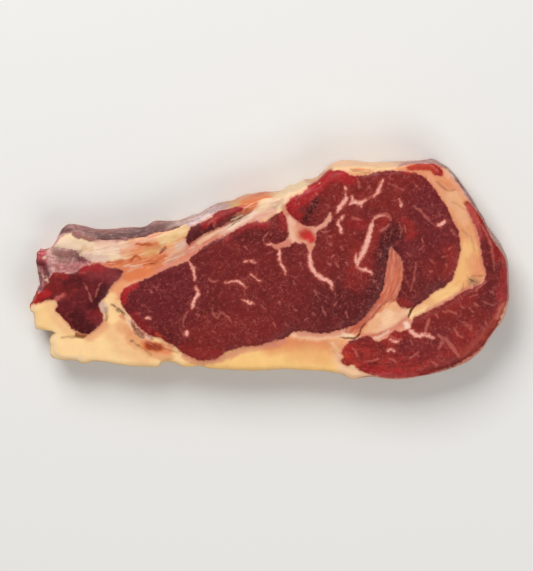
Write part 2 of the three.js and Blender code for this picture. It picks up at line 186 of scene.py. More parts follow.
# Fainter marbling, in short dashes and thin lines: width, and route.
FLECKS = [
    (1.9, (54, 300), (58, 297.5), (63, 295)), (1.2, (84, 283), (88, 292), (92, 302)),
    (0.8, (101, 283), (97, 290), (95, 297)),
    (0.8, (217, 231), (214, 226), (216, 220)),
    (1.0, (208, 225), (213, 220), (219, 218)),
    (0.8, (397, 221), (401, 229), (400, 237)),
    (0.8, (268, 232), (263, 239), (266, 246)),
    (1.0, (188, 311), (184, 318), (183, 327)),
    (1.2, (208, 278), (211, 281), (217, 281)),
    (1.1, (211, 308), (214, 314), (217, 318), (221, 313), (227, 316), (231, 321)),
    (2.0, (372, 222), (376, 217), (382, 215), (388, 216), (390, 221)),
    (1.5, (389, 224), (385, 229), (378, 231)),
    (0.8, (388, 184), (395, 187), (401, 190)), (0.9, (404, 226), (406, 234)),
    (1.0, (319, 230.5), (325, 232), (331, 230.5)), (0.7, (324, 236), (330, 237), (335, 234.5)),
    (1.0, (430, 222), (434, 225), (438, 226)),
    (1.3, (486, 281), (481, 286), (476, 291)), (0.9, (436, 313), (438, 318)),
    (0.8, (471, 324), (472, 331)), (1.1, (427, 165.5), (433, 168), (438, 173)),
    (0.7, (449, 273), (450, 274)), (0.7, (459, 277), (462, 281)), (0.8, (490, 290), (494, 293)),
    (0.8, (438, 303), (440, 309)), (0.8, (460, 305), (465, 309)), (0.8, (473, 303), (480, 306)),
    (0.7, (485, 320), (487, 325)), (0.8, (465, 325), (471, 329)), (0.7, (459, 295), (463, 299)),
    (0.7, (448, 327), (451, 331)), (1.6, (425, 334), (427, 327), (430, 318)),
    (1.8, (438, 335), (443, 339), (441, 345), (438, 350)),
    (1.7, (455, 328), (458, 334), (463, 338)),
    (2.1, (443, 336), (449, 343), (454, 349), (460, 357)),
    (1.5, (413, 206), (420, 211), (425, 217), (429, 221)),
    (1.6, (366, 199), (370, 198), (374, 196)),
    (0.8, (373, 278), (376, 283)),
    (0.8, (357, 254), (361, 257)),
    (1.1, (356, 178), (358, 183), (359, 189)),
    (1.0, (416, 262), (415, 272), (413, 282), (410, 292)),
    (0.9, (448, 227), (452, 231), (456, 237)),
    (1.5, (352, 218), (356, 218.5), (362, 220)),
    (1.1, (390, 336), (396, 339), (403, 340)),
    (1.0, (411, 340), (412, 345)),
    (1.2, (353, 348), (356, 352), (358, 357)),
    (1.1, (389, 358), (393, 360), (398, 364)),
    (1.0, (410, 359), (414, 356), (419, 352)),
    (0.8, (364, 362), (372, 361), (380, 358)),
    (1.0, (431, 361), (438, 366)),
    (1.2, (476, 219), (484, 230), (490, 243), (493, 257), (494, 270)),
    (0.8, (483, 218), (492, 231), (498, 243)),
    (1.0, (443, 312), (450, 311), (457, 314)),
    (1.0, (469, 307), (474, 313)),
    (0.9, (483, 301), (489, 304), (495, 305)),
    (0.9, (469, 297), (478, 294)),
    (0.8, (463, 322), (470, 326), (474, 332)),
    (1.1, (150, 290), (153, 293)), (0.8, (183, 332), (183, 336)),
    (1.0, (273, 322), (276, 327)), (1.1, (313, 313), (314, 315)), (1.1, (322, 307), (326, 316)),
    (0.9, (346, 311), (348, 319)), (0.8, (286, 290), (289, 294)), (1.3, (327, 262), (331, 266)),
    (1.3, (329, 243), (333, 246)), (1.0, (340, 246), (343, 250)), (1.0, (334, 262), (339, 268)),
    (0.9, (446, 264), (447, 267)), (0.8, (315, 290), (319, 299)), (0.8, (335, 291), (336, 298)),
    (0.9, (333, 306), (338, 302)), (0.9, (278, 301), (281, 305)), (0.7, (196, 314), (200, 315)),
    (0.8, (430, 260), (434, 264)), (0.9, (441, 257), (447, 256)), (0.9, (431, 203), (432, 206)),
    (1.0, (402, 189), (403, 192)), (0.9, (417, 188), (414, 185)), (1.0, (380, 254), (381, 257)),
    (1.1, (353, 232), (356, 235)), (0.9, (484, 328), (485, 331)), (0.9, (315, 193), (318, 194)),
    (0.9, (298, 203), (300, 205)), (0.7, (405, 278), (407, 283)), (0.8, (438, 276), (440, 280)),
    (0.8, (245, 246), (248, 250)), (0.7, (244, 290), (245, 296)), (0.7, (247, 304), (248, 310)),
    (0.6, (220, 294), (219, 299)), (0.6, (208, 287), (207, 294)), (0.7, (292, 306), (297, 311)),
    (0.7, (139, 313), (140, 316)), (0.6, (183, 320), (184, 328)), (0.8, (268, 254), (272, 252)),
    (0.8, (300, 262), (302, 268)), (0.9, (330, 257), (334, 255)), (0.8, (345, 262), (348, 266)),
    (0.8, (372, 282), (377, 281)), (0.8, (376, 285), (379, 290)), (0.9, (421, 238), (423, 243)),
    (0.8, (406, 252), (409, 256)), (0.8, (428, 270), (433, 272)), (0.7, (419, 250), (423, 247)),
    (0.7, (366, 190), (370, 186)), (0.8, (388, 178), (391, 181)), (0.7, (333, 196), (336, 201)),
    (0.7, (326, 205), (329, 208)), (0.8, (448, 250), (452, 247)), (0.7, (262, 306), (266, 309)),
    (0.7, (232, 334), (236, 337)), (0.6, (212, 330), (216, 333)), (0.6, (254, 320), (257, 325)),
    (0.7, (304, 321), (308, 318)), (0.7, (338, 276), (341, 281)), (0.6, (293, 281), (296, 286)),
]

# Cracks: width, depth, and route, which tapers to both ends. They are cut into the relief, and
# painted shade darkens them inside.
CRACKS = [
    (0.35, 0.3, [(395, 295), (388, 301), (380, 308), (374, 315), (368, 321), (364, 326)]),
    (0.85, 1.2, [(365, 324), (361.5, 329), (360, 334), (355, 338), (349, 338.5), (339, 338)]),
    (1.2, 1.6, [(414, 307), (411, 312), (408.5, 318)]),
    (0.4, 0.3, [(413, 309), (417, 304), (422, 301)]),
    (0.4, 0.3, [(466, 275), (471, 280), (477, 283)]),
    (0.4, 0.4, [(227, 229), (234, 224), (241, 221)]),
    (0.28, 0.3, [(236, 221), (246, 215), (254, 209)]),
    (0.8, 0.6, [(228, 222), (231, 219), (236, 217)]),
    (0.5, 0.4, [(161, 252), (163, 250), (165.5, 247.5)]),
    (0.35, 0.3, [(143, 264.5), (151, 264), (158, 261)]),
    (0.35, 0.5, [(131, 322), (135, 330), (142, 338)]),
    (0.6, 0.4, [(111, 305), (114, 306), (118, 309), (122, 314)]),
    (0.8, 0.6, [(185, 239), (188, 237), (190, 234)]),
    (0.35, 0.3, [(105, 312), (106.5, 317), (105, 322)]),
]

# Where the fat is stringy, and which way its strings run: strength, radius, soft edge, route.
STRINGS = [
    (1.0, 6.5, 4, [(96, 262), (112, 260), (128, 257), (150, 251), (175, 242), (200, 230),
                   (225, 219), (250, 208), (278, 196)]),
    (0.6, 2.2, 2.0, [(116, 303), (125, 314), (138, 329), (152, 341), (170, 352), (186, 358)]),
    (0.35, 4, 4, [(436, 180), (450, 194), (462, 212), (470, 236), (474, 262)]),
    (0.45, 4, 4, [(466, 286), (446, 298), (424, 309), (400, 320), (376, 332)]),
    (0.9, 3, 2.5, [(394, 247), (394, 266), (390, 286), (380, 302), (366, 319), (350, 331)]),
    (0.6, 2.5, 2.5, [(330, 166), (350, 165), (376, 165), (404, 166)]),
]


def rgb(red, green, blue):
    """A colour as a maker reads it off a chart, 0 to 255, turned linear."""
    channel = np.array([red, green, blue]) / 255
    return np.where(channel < 0.04045, channel / 12.92, ((channel + 0.055) / 1.055) ** 2.4)


CREAM = rgb(246, 206, 150)
YELLOW_FAT = rgb(242, 194, 124)
GOLD_FAT = rgb(228, 194, 140)
IVORY_AND_HIGHLIGHT = rgb(230, 200, 162)
PALE_FAT = rgb(238, 192, 154)
CHALKY_FAT_AND_HIGHLIGHT = rgb(236, 206, 182)
MILKY_FAT = rgb(212, 180, 164)
TAN_FAT = rgb(222, 152, 104)
PEACH_FAT = rgb(220, 140, 98)
ORANGE_FAT = rgb(212, 122, 80)
BRIGHT_ORANGE = rgb(220, 122, 74)
OCHRE = rgb(208, 160, 102)
DEEP_RUST = rgb(152, 58, 28)
RUST = rgb(190, 88, 46)
BROWN = rgb(124, 68, 38)
CRACK_AND_HOLE_SHADE = rgb(136, 82, 40)
OLIVE = rgb(134, 102, 66)
PINK_FAT = rgb(206, 126, 106)
PINK_WHITE = rgb(224, 172, 150)
RED_STAIN = rgb(176, 42, 36)
CHERRY = rgb(196, 36, 36)
LAVENDER = rgb(200, 170, 162)
GREY_MEMBRANE = rgb(140, 106, 98)
DARK_LEAN = rgb(106, 31, 31)
# dark lean, also used as painted shade in the folds of the lean
DEEP_LEAN_AND_SHADE = rgb(68, 17, 20)
PLUM_LEAN = rgb(102, 29, 36)
RED_LEAN = rgb(132, 36, 32)
BRIGHT_LEAN = rgb(160, 40, 34)
ORANGE_LEAN = rgb(190, 68, 46)
CRIMSON = rgb(168, 32, 36)
ROSE_LEAN_AND_HIGHLIGHT = rgb(190, 82, 84)
PURPLE_SKIN = rgb(136, 83, 78)
DULL_PURPLE = rgb(98, 64, 64)
ROSE_SKIN = rgb(186, 136, 130)
LILAC_AND_HIGHLIGHT = rgb(176, 138, 136)
PALE_LILAC = rgb(224, 196, 192)
MAROON_AND_SHADE = rgb(100, 48, 54)
FLAP_SKIN = rgb(206, 152, 148)
PAINTED_LIGHT_SKIN = rgb(226, 178, 168)
PINK_LIP = rgb(192, 86, 94)
LEAN_WALL = rgb(138, 48, 44)

SPECK = rgb(160, 70, 64)
DOT = rgb(188, 104, 96)
THREAD = rgb(186, 98, 90)
FINE_THREAD = rgb(172, 84, 78)
FLECK = rgb(200, 108, 96)
VEIN_HALO = rgb(166, 66, 58)
VEIN = rgb(216, 132, 116)
VEIN_CORE = rgb(238, 182, 166)
DARK_STRING = rgb(196, 108, 72)
PALE_STRING = rgb(240, 208, 180)
STAINED_EDGE = rgb(206, 118, 98)
DARK_TATTER = rgb(128, 62, 54)
PALE_TATTER = rgb(236, 208, 188)
GRISTLE = rgb(194, 98, 74)
DARK_GRISTLE = rgb(170, 72, 54)
PALE_GRISTLE = rgb(212, 132, 112)
PALE_FILM = rgb(218, 188, 178)
ROSE_FILM = rgb(206, 170, 160)
BRUISE = rgb(92, 46, 54)
# painted shade for the inside of the cracks
CRACK_SHADE = rgb(88, 34, 24)

# Tints of the fat: colour, how strongly it covers, radius, width of its soft edge, route.
FAT_TINTS = [
    (YELLOW_FAT, 1.0, 5, 6, [(200, 364), (250, 358), (300, 358), (330, 360)]),
    (YELLOW_FAT, 0.4, 3, 4, [(40, 316), (44, 326)]),
    # painted highlights: bright rims along the left and lower edges of the fat
    (IVORY_AND_HIGHLIGHT, 0.6, 0.8, 2.5, [(32, 305), (32, 316), (35, 330)]),
    (IVORY_AND_HIGHLIGHT, 0.6, 0.8, 2.5, [(54, 336), (51, 346), (55, 358), (80, 361)]),
    (TAN_FAT, 0.4, 1.5, 4, [(50, 306), (60, 320), (70, 331)]),
    (TAN_FAT, 0.35, 4, 7, [(116, 300), (112, 320), (124, 340), (142, 352)]),
    (PEACH_FAT, 0.6, 1.0, 3, [(88, 338), (96, 332), (104, 325)]),
    (PEACH_FAT, 0.45, 1.5, 3, [(121, 327), (127, 330), (134, 334)]),
    (PEACH_FAT, 0.8, 2.5, 4, [(126, 276), (119, 284), (114, 293)]),
    (CREAM, 0.8, 1.5, 3, [(110, 298), (108, 308), (112, 318)]),
    # under the eye and beside the cap
    (ORANGE_FAT, 0.8, 0.5, 7, [(270, 346), (288, 342), (305, 340), (322, 341), (334, 343)]),
    (ORANGE_FAT, 0.35, 2, 8, [(296, 350), (326, 354)]),
    (PALE_FAT, 0.9, 1.2, 2.5, [(296, 334.5), (315, 336), (330, 335), (345, 332)]),
    (PINK_FAT, 0.7, 0.6, 2.0, [(180, 353), (192, 361), (212, 362), (228, 357), (244, 350),
                               (262, 347), (284, 341)]),
    (PINK_FAT, 0.7, 0.7, 1.8, [(298, 334), (318, 335), (336, 333), (352, 329)]),
    (CHALKY_FAT_AND_HIGHLIGHT, 0.5, 0.8, 2.0, [(346, 335), (352, 334), (359, 330)]),
    (PALE_FAT, 0.4, 1.0, 2.5, [(336, 344), (335, 352), (337, 362)]),
    (OCHRE, 0.7, 0.15, 0.8, [(329, 341), (335, 345), (341, 349)]),
    (OCHRE, 0.6, 0.15, 0.8, [(331, 346), (336, 350), (341, 353)]),
    (OLIVE, 0.45, 0.1, 0.7, [(333, 351), (337, 355), (341, 359)]),
    (CHALKY_FAT_AND_HIGHLIGHT, 0.7, 0.2, 0.8, [(331, 343.5), (336, 347.5), (340, 351)]),
    (PEACH_FAT, 0.7, 0.8, 2.0, [(346, 341), (341, 347)]),
    (TAN_FAT, 0.45, 2.0, 3.0, [(334, 344), (337, 352)]),
    (PINK_WHITE, 0.8, 0.5, 1.5, [(339, 355), (339, 361)]),
    (PALE_FAT, 0.9, 1.8, 3.0, [(344, 369), (354, 374), (366, 377)]),
    # the stringy fat between rib and eye
    (TAN_FAT, 1.0, 8, 5, [(116, 256), (150, 252), (176, 244), (196, 238)]),
    (ORANGE_FAT, 1.0, 4, 4, [(112, 269), (124, 269), (136, 271), (150, 267), (162, 262)]),
    (BRIGHT_ORANGE, 0.6, 1.5, 3, [(130, 276), (136, 274), (146, 270)]),
    (IVORY_AND_HIGHLIGHT, 1.0, 3.5, 3, [(54, 241), (72, 242), (90, 248), (106, 252), (122, 250)]),
    (MILKY_FAT, 0.35, 2.0, 3, [(58, 243), (72, 245), (84, 250)]),
    (PURPLE_SKIN, 0.95, 0.7, 0.9, [(74, 235), (82, 237), (92, 239.5), (102, 241), (114, 240.5),
                                   (126, 238.5), (138, 235.5)]),
    (CHALKY_FAT_AND_HIGHLIGHT, 0.5, 0.8, 2.5, [(60, 243), (72, 246), (82, 250)]),
    (CHALKY_FAT_AND_HIGHLIGHT, 0.9, 1.5, 3, [(90, 251), (104, 248), (118, 249)]),
    (PEACH_FAT, 0.7, 1.2, 2.0, [(124, 252), (134, 250), (144, 249)]),
    (MILKY_FAT, 0.9, 1.5, 2.5, [(87, 258), (96, 260), (104, 259)]),
    (OCHRE, 0.6, 0.5, 1.5, [(84, 248), (88, 249.5), (92, 249)]),
    (PINK_WHITE, 0.6, 0.8, 2.0, [(97, 243.5), (115, 243.5), (136, 244), (145, 239.5), (153, 238),
                                 (165, 233.5), (180, 228)]),
    (OCHRE, 0.6, 1.4, 1.6, [(147, 252), (153, 250), (160, 249)]),
    (RUST, 0.95, 0.6, 0.8, [(161, 252), (163, 250), (165.5, 247.5)]),
    (DEEP_RUST, 0.8, 0.4, 0.8, [(161, 252), (163, 250), (165, 248)]),
    (ORANGE_FAT, 0.45, 0.6, 1.6, [(138, 246), (148, 246.5), (158, 246)]),
    (RUST, 0.9, 0.35, 0.8, [(137, 243.5), (144, 244.5), (152, 245)]),
    (DEEP_RUST, 0.4, 0.15, 0.8, [(139, 243.5), (145, 244.5), (151, 245)]),
    (RUST, 0.55, 0.2, 0.9, [(152, 245), (160, 244.5), (167, 243)]),
    (ORANGE_FAT, 0.8, 0.8, 1.0, [(132, 260), (136, 259), (140, 260)]),
    (RUST, 0.95, 0.3, 0.8, [(130, 261), (133, 257), (138, 256), (141.5, 259)]),
    (DEEP_RUST, 0.6, 0.2, 0.8, [(131, 260), (133, 257), (137, 256)]),
    (RUST, 0.75, 0.4, 1.4, [(108, 264), (115, 262), (122, 260.5)]),
    (RUST, 0.6, 0.3, 1.4, [(88, 263), (98, 264), (110, 266)]),
    (RUST, 0.65, 0.2, 0.8, [(144, 265), (150, 264), (157, 262.5), (164, 260)]),
    (RUST, 0.6, 0.2, 0.8, [(146, 259), (153, 260), (160, 258.5), (167, 256)]),
    (PINK_WHITE, 0.5, 0.2, 0.8, [(124, 266), (133, 267), (142, 267.5)]),
    (PINK_WHITE, 0.5, 0.8, 2.0, [(166, 263), (173, 257), (181, 252), (191, 246)]),
    (PINK_WHITE, 0.4, 0.6, 1.8, [(169, 252), (178, 247), (188, 241)]),
    (PINK_FAT, 0.9, 0.5, 1.4, [(158, 271), (170, 265), (184, 258.5), (198, 250), (212, 241.5)]),
    (GREY_MEMBRANE, 0.3, 0.15, 0.8, [(168, 262), (176, 258), (186, 252), (194, 247)]),
    (GREY_MEMBRANE, 0.25, 0.15, 0.8, [(172, 258), (180, 253), (188, 248)]),
    (MILKY_FAT, 0.7, 0.9, 2.0, [(179, 247), (185, 243), (190, 240)]),
    (GOLD_FAT, 0.8, 1.8, 2.5, [(163, 240), (172, 236), (182, 230), (191, 225), (199, 221)]),
    (PINK_FAT, 0.95, 2.6, 2.0, [(192, 250), (204, 242), (216, 236), (230, 229)]),
    (PALE_FAT, 0.7, 0.4, 1.2, [(198, 243), (208, 237), (220, 231), (232, 226)]),
    (PINK_WHITE, 1.0, 2.4, 3, [(226, 231), (238, 224), (250, 217), (262, 210), (274, 203)]),
    (CHALKY_FAT_AND_HIGHLIGHT, 0.8, 0.8, 2.0, [(230, 228), (244, 219), (256, 212), (268, 206)]),
    (LAVENDER, 1.0, 2.6, 2, [(191, 221), (199, 217), (208, 212), (216, 208), (228, 204)]),
    (PALE_LILAC, 0.8, 1.2, 2, [(194, 220), (202, 216), (210, 212)]),
    (CHALKY_FAT_AND_HIGHLIGHT, 0.7, 0.4, 1.2, [(206, 213), (212, 210), (219, 206)]),
    (GREY_MEMBRANE, 0.5, 0.3, 1.4, [(200, 219), (206, 215), (212, 212)]),
    (BRIGHT_ORANGE, 1.0, 3.4, 2.4, [(238, 205), (250, 202), (262, 199), (272, 195)]),
    (RUST, 0.5, 0.3, 1.0, [(243, 208), (252, 204), (262, 201)]),
    (RED_STAIN, 0.6, 0.3, 1.4, [(240, 206), (243, 206)]),
    (RED_STAIN, 0.6, 0.3, 1.6, [(250, 196.5), (256, 195)]),
    (BROWN, 0.95, 1.2, 1.8, [(226, 221.5), (231, 219), (237, 216)]),
    (MAROON_AND_SHADE, 0.6, 0.4, 1.2, [(227, 222), (231, 220), (235, 218)]),
    (BROWN, 0.8, 0.8, 2.2, [(233, 220), (240, 216), (247, 212)]),
    (RUST, 0.5, 0.3, 1.4, [(245, 213), (252, 208), (259, 203.5)]),
    (IVORY_AND_HIGHLIGHT, 0.95, 3, 3, [(266, 207), (276, 202), (286, 197), (296, 192)]),
    (PALE_FAT, 0.7, 3, 4, [(284, 194), (294, 190), (306, 187), (314, 183)]),
    (CHALKY_FAT_AND_HIGHLIGHT, 0.6, 0.6, 2.0, [(270, 203), (280, 200), (286, 196)]),
    (PINK_WHITE, 0.9, 1.2, 2.0, [(257, 220), (265, 216), (272, 210)]),
    (CRIMSON, 1.0, 1.3, 0.9, [(313, 186.5), (319.5, 181.5), (324, 176)]),
    (OLIVE, 0.35, 0.3, 1.4, [(274, 207), (280, 203), (283, 199)]),
    # the band along the high edge, and the arc round the eye
    (PALE_FAT, 1.0, 2, 3, [(326, 168), (345, 166), (365, 164), (400, 167)]),
    (CHALKY_FAT_AND_HIGHLIGHT, 0.7, 0.6, 1.6, [(330, 166), (340, 164), (350, 163)]),
    (BRIGHT_ORANGE, 0.95, 0.8, 1.5, [(356, 168), (362, 167.5), (368, 168)]),
    (TAN_FAT, 0.7, 0.8, 1.6, [(351, 173), (359, 175.5), (367, 173)]),
    (TAN_FAT, 1.0, 9, 5, [(416, 172), (432, 182), (448, 196), (458, 212), (466, 232), (468, 252),
                          (470, 272)]),
    (PEACH_FAT, 0.6, 1.5, 3, [(420, 174), (432, 182), (440, 188)]),
    (ORANGE_FAT, 0.5, 0.6, 3.2, [(442, 182), (448, 185), (455, 188)]),
    (PINK_WHITE, 0.25, 0.3, 2.0, [(430, 178), (440, 190), (449, 206)]),
    (PINK_WHITE, 0.6, 0.5, 1.8, [(450, 174), (461, 188), (470, 201), (480, 214)]),
    (ROSE_SKIN, 0.8, 0.9, 1.4, [(452, 174), (463, 188), (472, 201)]),
    (TAN_FAT, 0.5, 1.0, 3.0, [(452, 288), (440, 296), (430, 302)]),
    (PINK_WHITE, 0.55, 1.0, 2.5, [(446, 172), (454, 180), (460, 190)]),
    (PEACH_FAT, 0.6, 0.6, 1.8, [(451, 180), (455, 185), (459, 190)]),
    (PALE_FAT, 0.35, 1.6, 3, [(452, 196), (458, 206), (464, 220)]),
    (PINK_FAT, 1.0, 0.8, 1.6, [(512, 250), (514, 280), (508, 304), (500, 320), (486, 343),
                               (460, 366), (430, 376), (400, 381)]),
    (PALE_FAT, 0.7, 0.6, 2.0, [(506, 306), (502, 314), (498, 322)]),
    (YELLOW_FAT, 0.55, 2.5, 5, [(468, 250), (463, 270), (452, 285), (438, 295)]),
    (PEACH_FAT, 0.7, 2, 4, [(474, 262), (480, 272)]),
    (PINK_FAT, 0.8, 0.8, 2.4, [(468, 208), (474, 220), (479, 234), (482, 252), (485, 268)]),
    (PINK_FAT, 0.8, 0.8, 2.4, [(478, 287), (466, 291), (456, 297), (443, 305), (430, 311)]),
    (BROWN, 0.5, 0.12, 0.6, [(436, 182), (442, 188), (449, 191), (454, 190)]),
    (OLIVE, 0.35, 0.12, 0.6, [(452, 202), (459, 206), (464, 211)]),
    (OLIVE, 0.35, 0.12, 0.6, [(461, 230), (468, 235), (473, 244), (474, 252)]),
    (BROWN, 0.40, 0.12, 0.6, [(463, 284), (462, 290), (459, 296)]),
    (BROWN, 0.45, 0.12, 0.6, [(472, 277), (478, 276.5), (484, 277)]),
    (OLIVE, 0.55, 0.15, 0.6, [(349, 166), (351, 170), (359, 171.5), (369, 172.5), (375, 169)]),
    (OLIVE, 0.55, 1.0, 1.8, [(471, 282), (476, 283)]),
    (BROWN, 0.5, 0.3, 1.2, [(471.5, 281), (473, 281.5)]),
    (BROWN, 0.5, 0.3, 1.2, [(475, 286), (477, 286)]),
    (PINK_WHITE, 0.6, 0.3, 1.2, [(478, 289), (482, 285), (486, 281)]),
    (ROSE_SKIN, 1.0, 1.2, 2.0, [(46, 281), (54, 272), (66, 272.5), (76, 271), (85, 266)]),
    (ROSE_LEAN_AND_HIGHLIGHT, 1.0, 2.0, 2.0, [(31, 295), (37, 290), (42, 286), (46, 281)]),
    # between wedge and cap
    (PALE_FAT, 0.8, 4, 5, [(399, 309), (390, 316), (378, 325), (370, 331)]),
    (TAN_FAT, 0.6, 1.2, 2.5, [(389, 303), (394, 303), (399, 307)]),
    (PINK_FAT, 0.6, 0.7, 2.0, [(364, 335), (376, 330), (388, 328), (401, 325)]),
    (TAN_FAT, 0.95, 2.4, 2, [(398, 312), (402, 317), (403, 322)]),
    (PINK_FAT, 0.5, 0.8, 2, [(399, 313), (402, 317), (402, 322)]),
    (PINK_FAT, 0.8, 2.4, 1.4, [(404, 322), (408, 325), (408.5, 329)]),
    (CHALKY_FAT_AND_HIGHLIGHT, 0.85, 1.0, 1.2, [(405.5, 325.5), (407.5, 327)]),
    (RUST, 0.7, 0.25, 1.0, [(396, 294), (388, 302), (378, 311), (368, 322)]),
    (PINK_FAT, 0.6, 0.8, 1.8, [(396, 302), (399, 306), (404, 309)]),
    # the wedge
    (ORANGE_FAT, 1.0, 5, 2, [(394, 258), (392, 274), (387, 290), (376, 308), (360, 325)]),
    (PALE_FAT, 0.85, 1.9, 1.6, [(396, 307), (389, 312), (382, 318), (375, 325), (369, 331)]),
    (PALE_FAT, 0.7, 2.0, 2, [(402, 313), (394, 318), (384, 325), (377, 331)]),
    (TAN_FAT, 0.6, 0.8, 2, [(386, 306), (392, 306), (399, 309)]),
    (TAN_FAT, 0.55, 1.2, 2.5, [(365, 329), (371, 329), (377, 323)]),
    (TAN_FAT, 0.5, 0.8, 2.5, [(414, 309), (422, 305), (430, 301)]),
    (PINK_FAT, 0.9, 1.0, 1.6, [(366, 336.5), (378, 336.5), (390, 333), (401, 327)]),
    (RUST, 0.5, 0.2, 0.9, [(370, 337), (379, 334.5), (388, 332.5)]),
    (CHALKY_FAT_AND_HIGHLIGHT, 0.5, 0.2, 0.9, [(374, 338), (382, 336), (389, 332)]),
    (PINK_FAT, 0.9, 2.5, 2, [(390, 248), (391, 258), (391, 266)]),
    (GREY_MEMBRANE, 0.7, 0.8, 1.6, [(397, 254), (400, 262), (401, 270)]),
    (GREY_MEMBRANE, 0.5, 0.4, 1.2, [(390, 256), (389, 264), (387, 270)]),
    (PINK_WHITE, 0.6, 0.5, 1.2, [(398, 282), (397, 290), (394, 297)]),
    (PINK_FAT, 0.8, 1.2, 2, [(379, 302), (370, 313), (360, 322)]),
    # the star
    (PINK_WHITE, 0.9, 4, 3, [(290, 222), (296, 230), (299, 238)]),
    (PEACH_FAT, 0.5, 1.5, 3, [(298, 228), (302, 240)]),
    (PINK_FAT, 0.7, 1.2, 2, [(300, 225), (305, 227), (312, 229)]),
    (RED_STAIN, 0.6, 0.8, 2, [(285, 208), (288, 213)]),
    (PINK_WHITE, 0.9, 3, 2, [(316, 229), (324, 226), (330, 218)]),
    (PINK_FAT, 0.5, 1, 3, [(316, 229), (324, 226), (330, 218)]),
    (PINK_FAT, 1.0, 2, 2, [(273, 246), (280, 246), (287, 244)]),
    (PINK_FAT, 0.9, 1.4, 2, [(310, 245), (311, 252)]),
    (PINK_FAT, 0.7, 1.2, 2.4, [(303, 232), (309, 235), (313, 239)]),
    (RED_STAIN, 0.95, 0.9, 3.2, [(303, 235), (308, 234), (312, 239)]),
    (CHERRY, 0.65, 0.3, 2.4, [(306, 238), (309, 236), (311.5, 239)]),
    # the frayed membrane at the eye's lower left
    (TAN_FAT, 0.8, 2.2, 3.0, [(132, 338), (142, 345), (152, 351), (166, 355)]),
    (CREAM, 0.7, 0.6, 1.4, [(119, 303), (125, 311), (131, 319)]),
    (MILKY_FAT, 0.8, 0.4, 1.2, [(124, 305), (127, 309), (129, 312)]),
    (PINK_WHITE, 0.9, 1.8, 1.8, [(133, 323), (139, 330), (147, 337)]),
    (PINK_FAT, 0.5, 1.0, 2.0, [(133, 323), (139, 330), (147, 337)]),
    (PALE_FAT, 0.9, 0.6, 1.2, [(124, 316), (128, 322), (131, 327)]),
    (ORANGE_FAT, 0.7, 0.5, 1.2, [(121, 316), (124, 319)]),
    (ORANGE_FAT, 0.3, 0.8, 1.8, [(126, 328), (131, 332)]),
    (CREAM, 1.0, 0.7, 1.2, [(152, 337), (161, 341), (171, 346), (180, 354)]),
    (CHALKY_FAT_AND_HIGHLIGHT, 0.6, 0.3, 0.9, [(124, 308), (128, 313), (132, 319)]),
    (BROWN, 0.8, 0.35, 0.9, [(131, 322), (134, 328), (137, 334), (142, 338)]),
    (MAROON_AND_SHADE, 0.4, 0.2, 0.7, [(135, 320), (141, 327), (147, 333), (152, 337)]),
    (BROWN, 0.8, 0.3, 0.9, [(134, 326), (139, 331), (144, 334.5)]),
    (CHALKY_FAT_AND_HIGHLIGHT, 0.9, 0.4, 0.9, [(146, 338.5), (149, 340)]),
    (OLIVE, 0.9, 0.25, 0.7, [(148, 336.5), (152, 339)]),
    (BRIGHT_ORANGE, 0.8, 1.8, 2.4, [(146, 345), (153, 347), (161, 348), (168, 349)]),
    (RUST, 0.95, 1.3, 1.6, [(147, 345.5), (153, 347), (160, 347.5)]),
    (DEEP_RUST, 1.0, 1.0, 1.8, [(149, 346), (153, 347), (158, 347.5)]),
    (OLIVE, 0.5, 0.15, 0.7, [(163, 348), (170, 350), (177, 353)]),
    (BROWN, 0.6, 0.3, 1.1, [(111, 305), (114, 306)]),
    (OLIVE, 0.9, 0.4, 0.9, [(117.5, 309.5), (121, 311.5), (123.5, 314)]),
    (OLIVE, 0.5, 0.15, 0.7, [(131, 341), (136, 345), (142, 348.5), (151, 355)]),
    (OLIVE, 0.6, 0.25, 0.6, [(131, 341), (132, 341.5)]),
    (OLIVE, 0.6, 0.25, 0.6, [(137, 345), (138, 345.5)]),
    # at the foot of the rib meat
    (LAVENDER, 0.8, 0.8, 2.2, [(101, 305), (104, 310)]),
    (BROWN, 0.40, 0.2, 1.1, [(105, 308), (106.5, 314), (105, 321)]),
    # painted shade in the hole and the crack between the stub and the foot of the fat
    (CRACK_AND_HOLE_SHADE, 1.0, 0.9, 1.2, [(76, 335), (80, 335.5), (84, 335)]),
    (CRACK_AND_HOLE_SHADE, 0.5, 0.2, 0.9, [(61, 337.5), (74, 337)]),
]

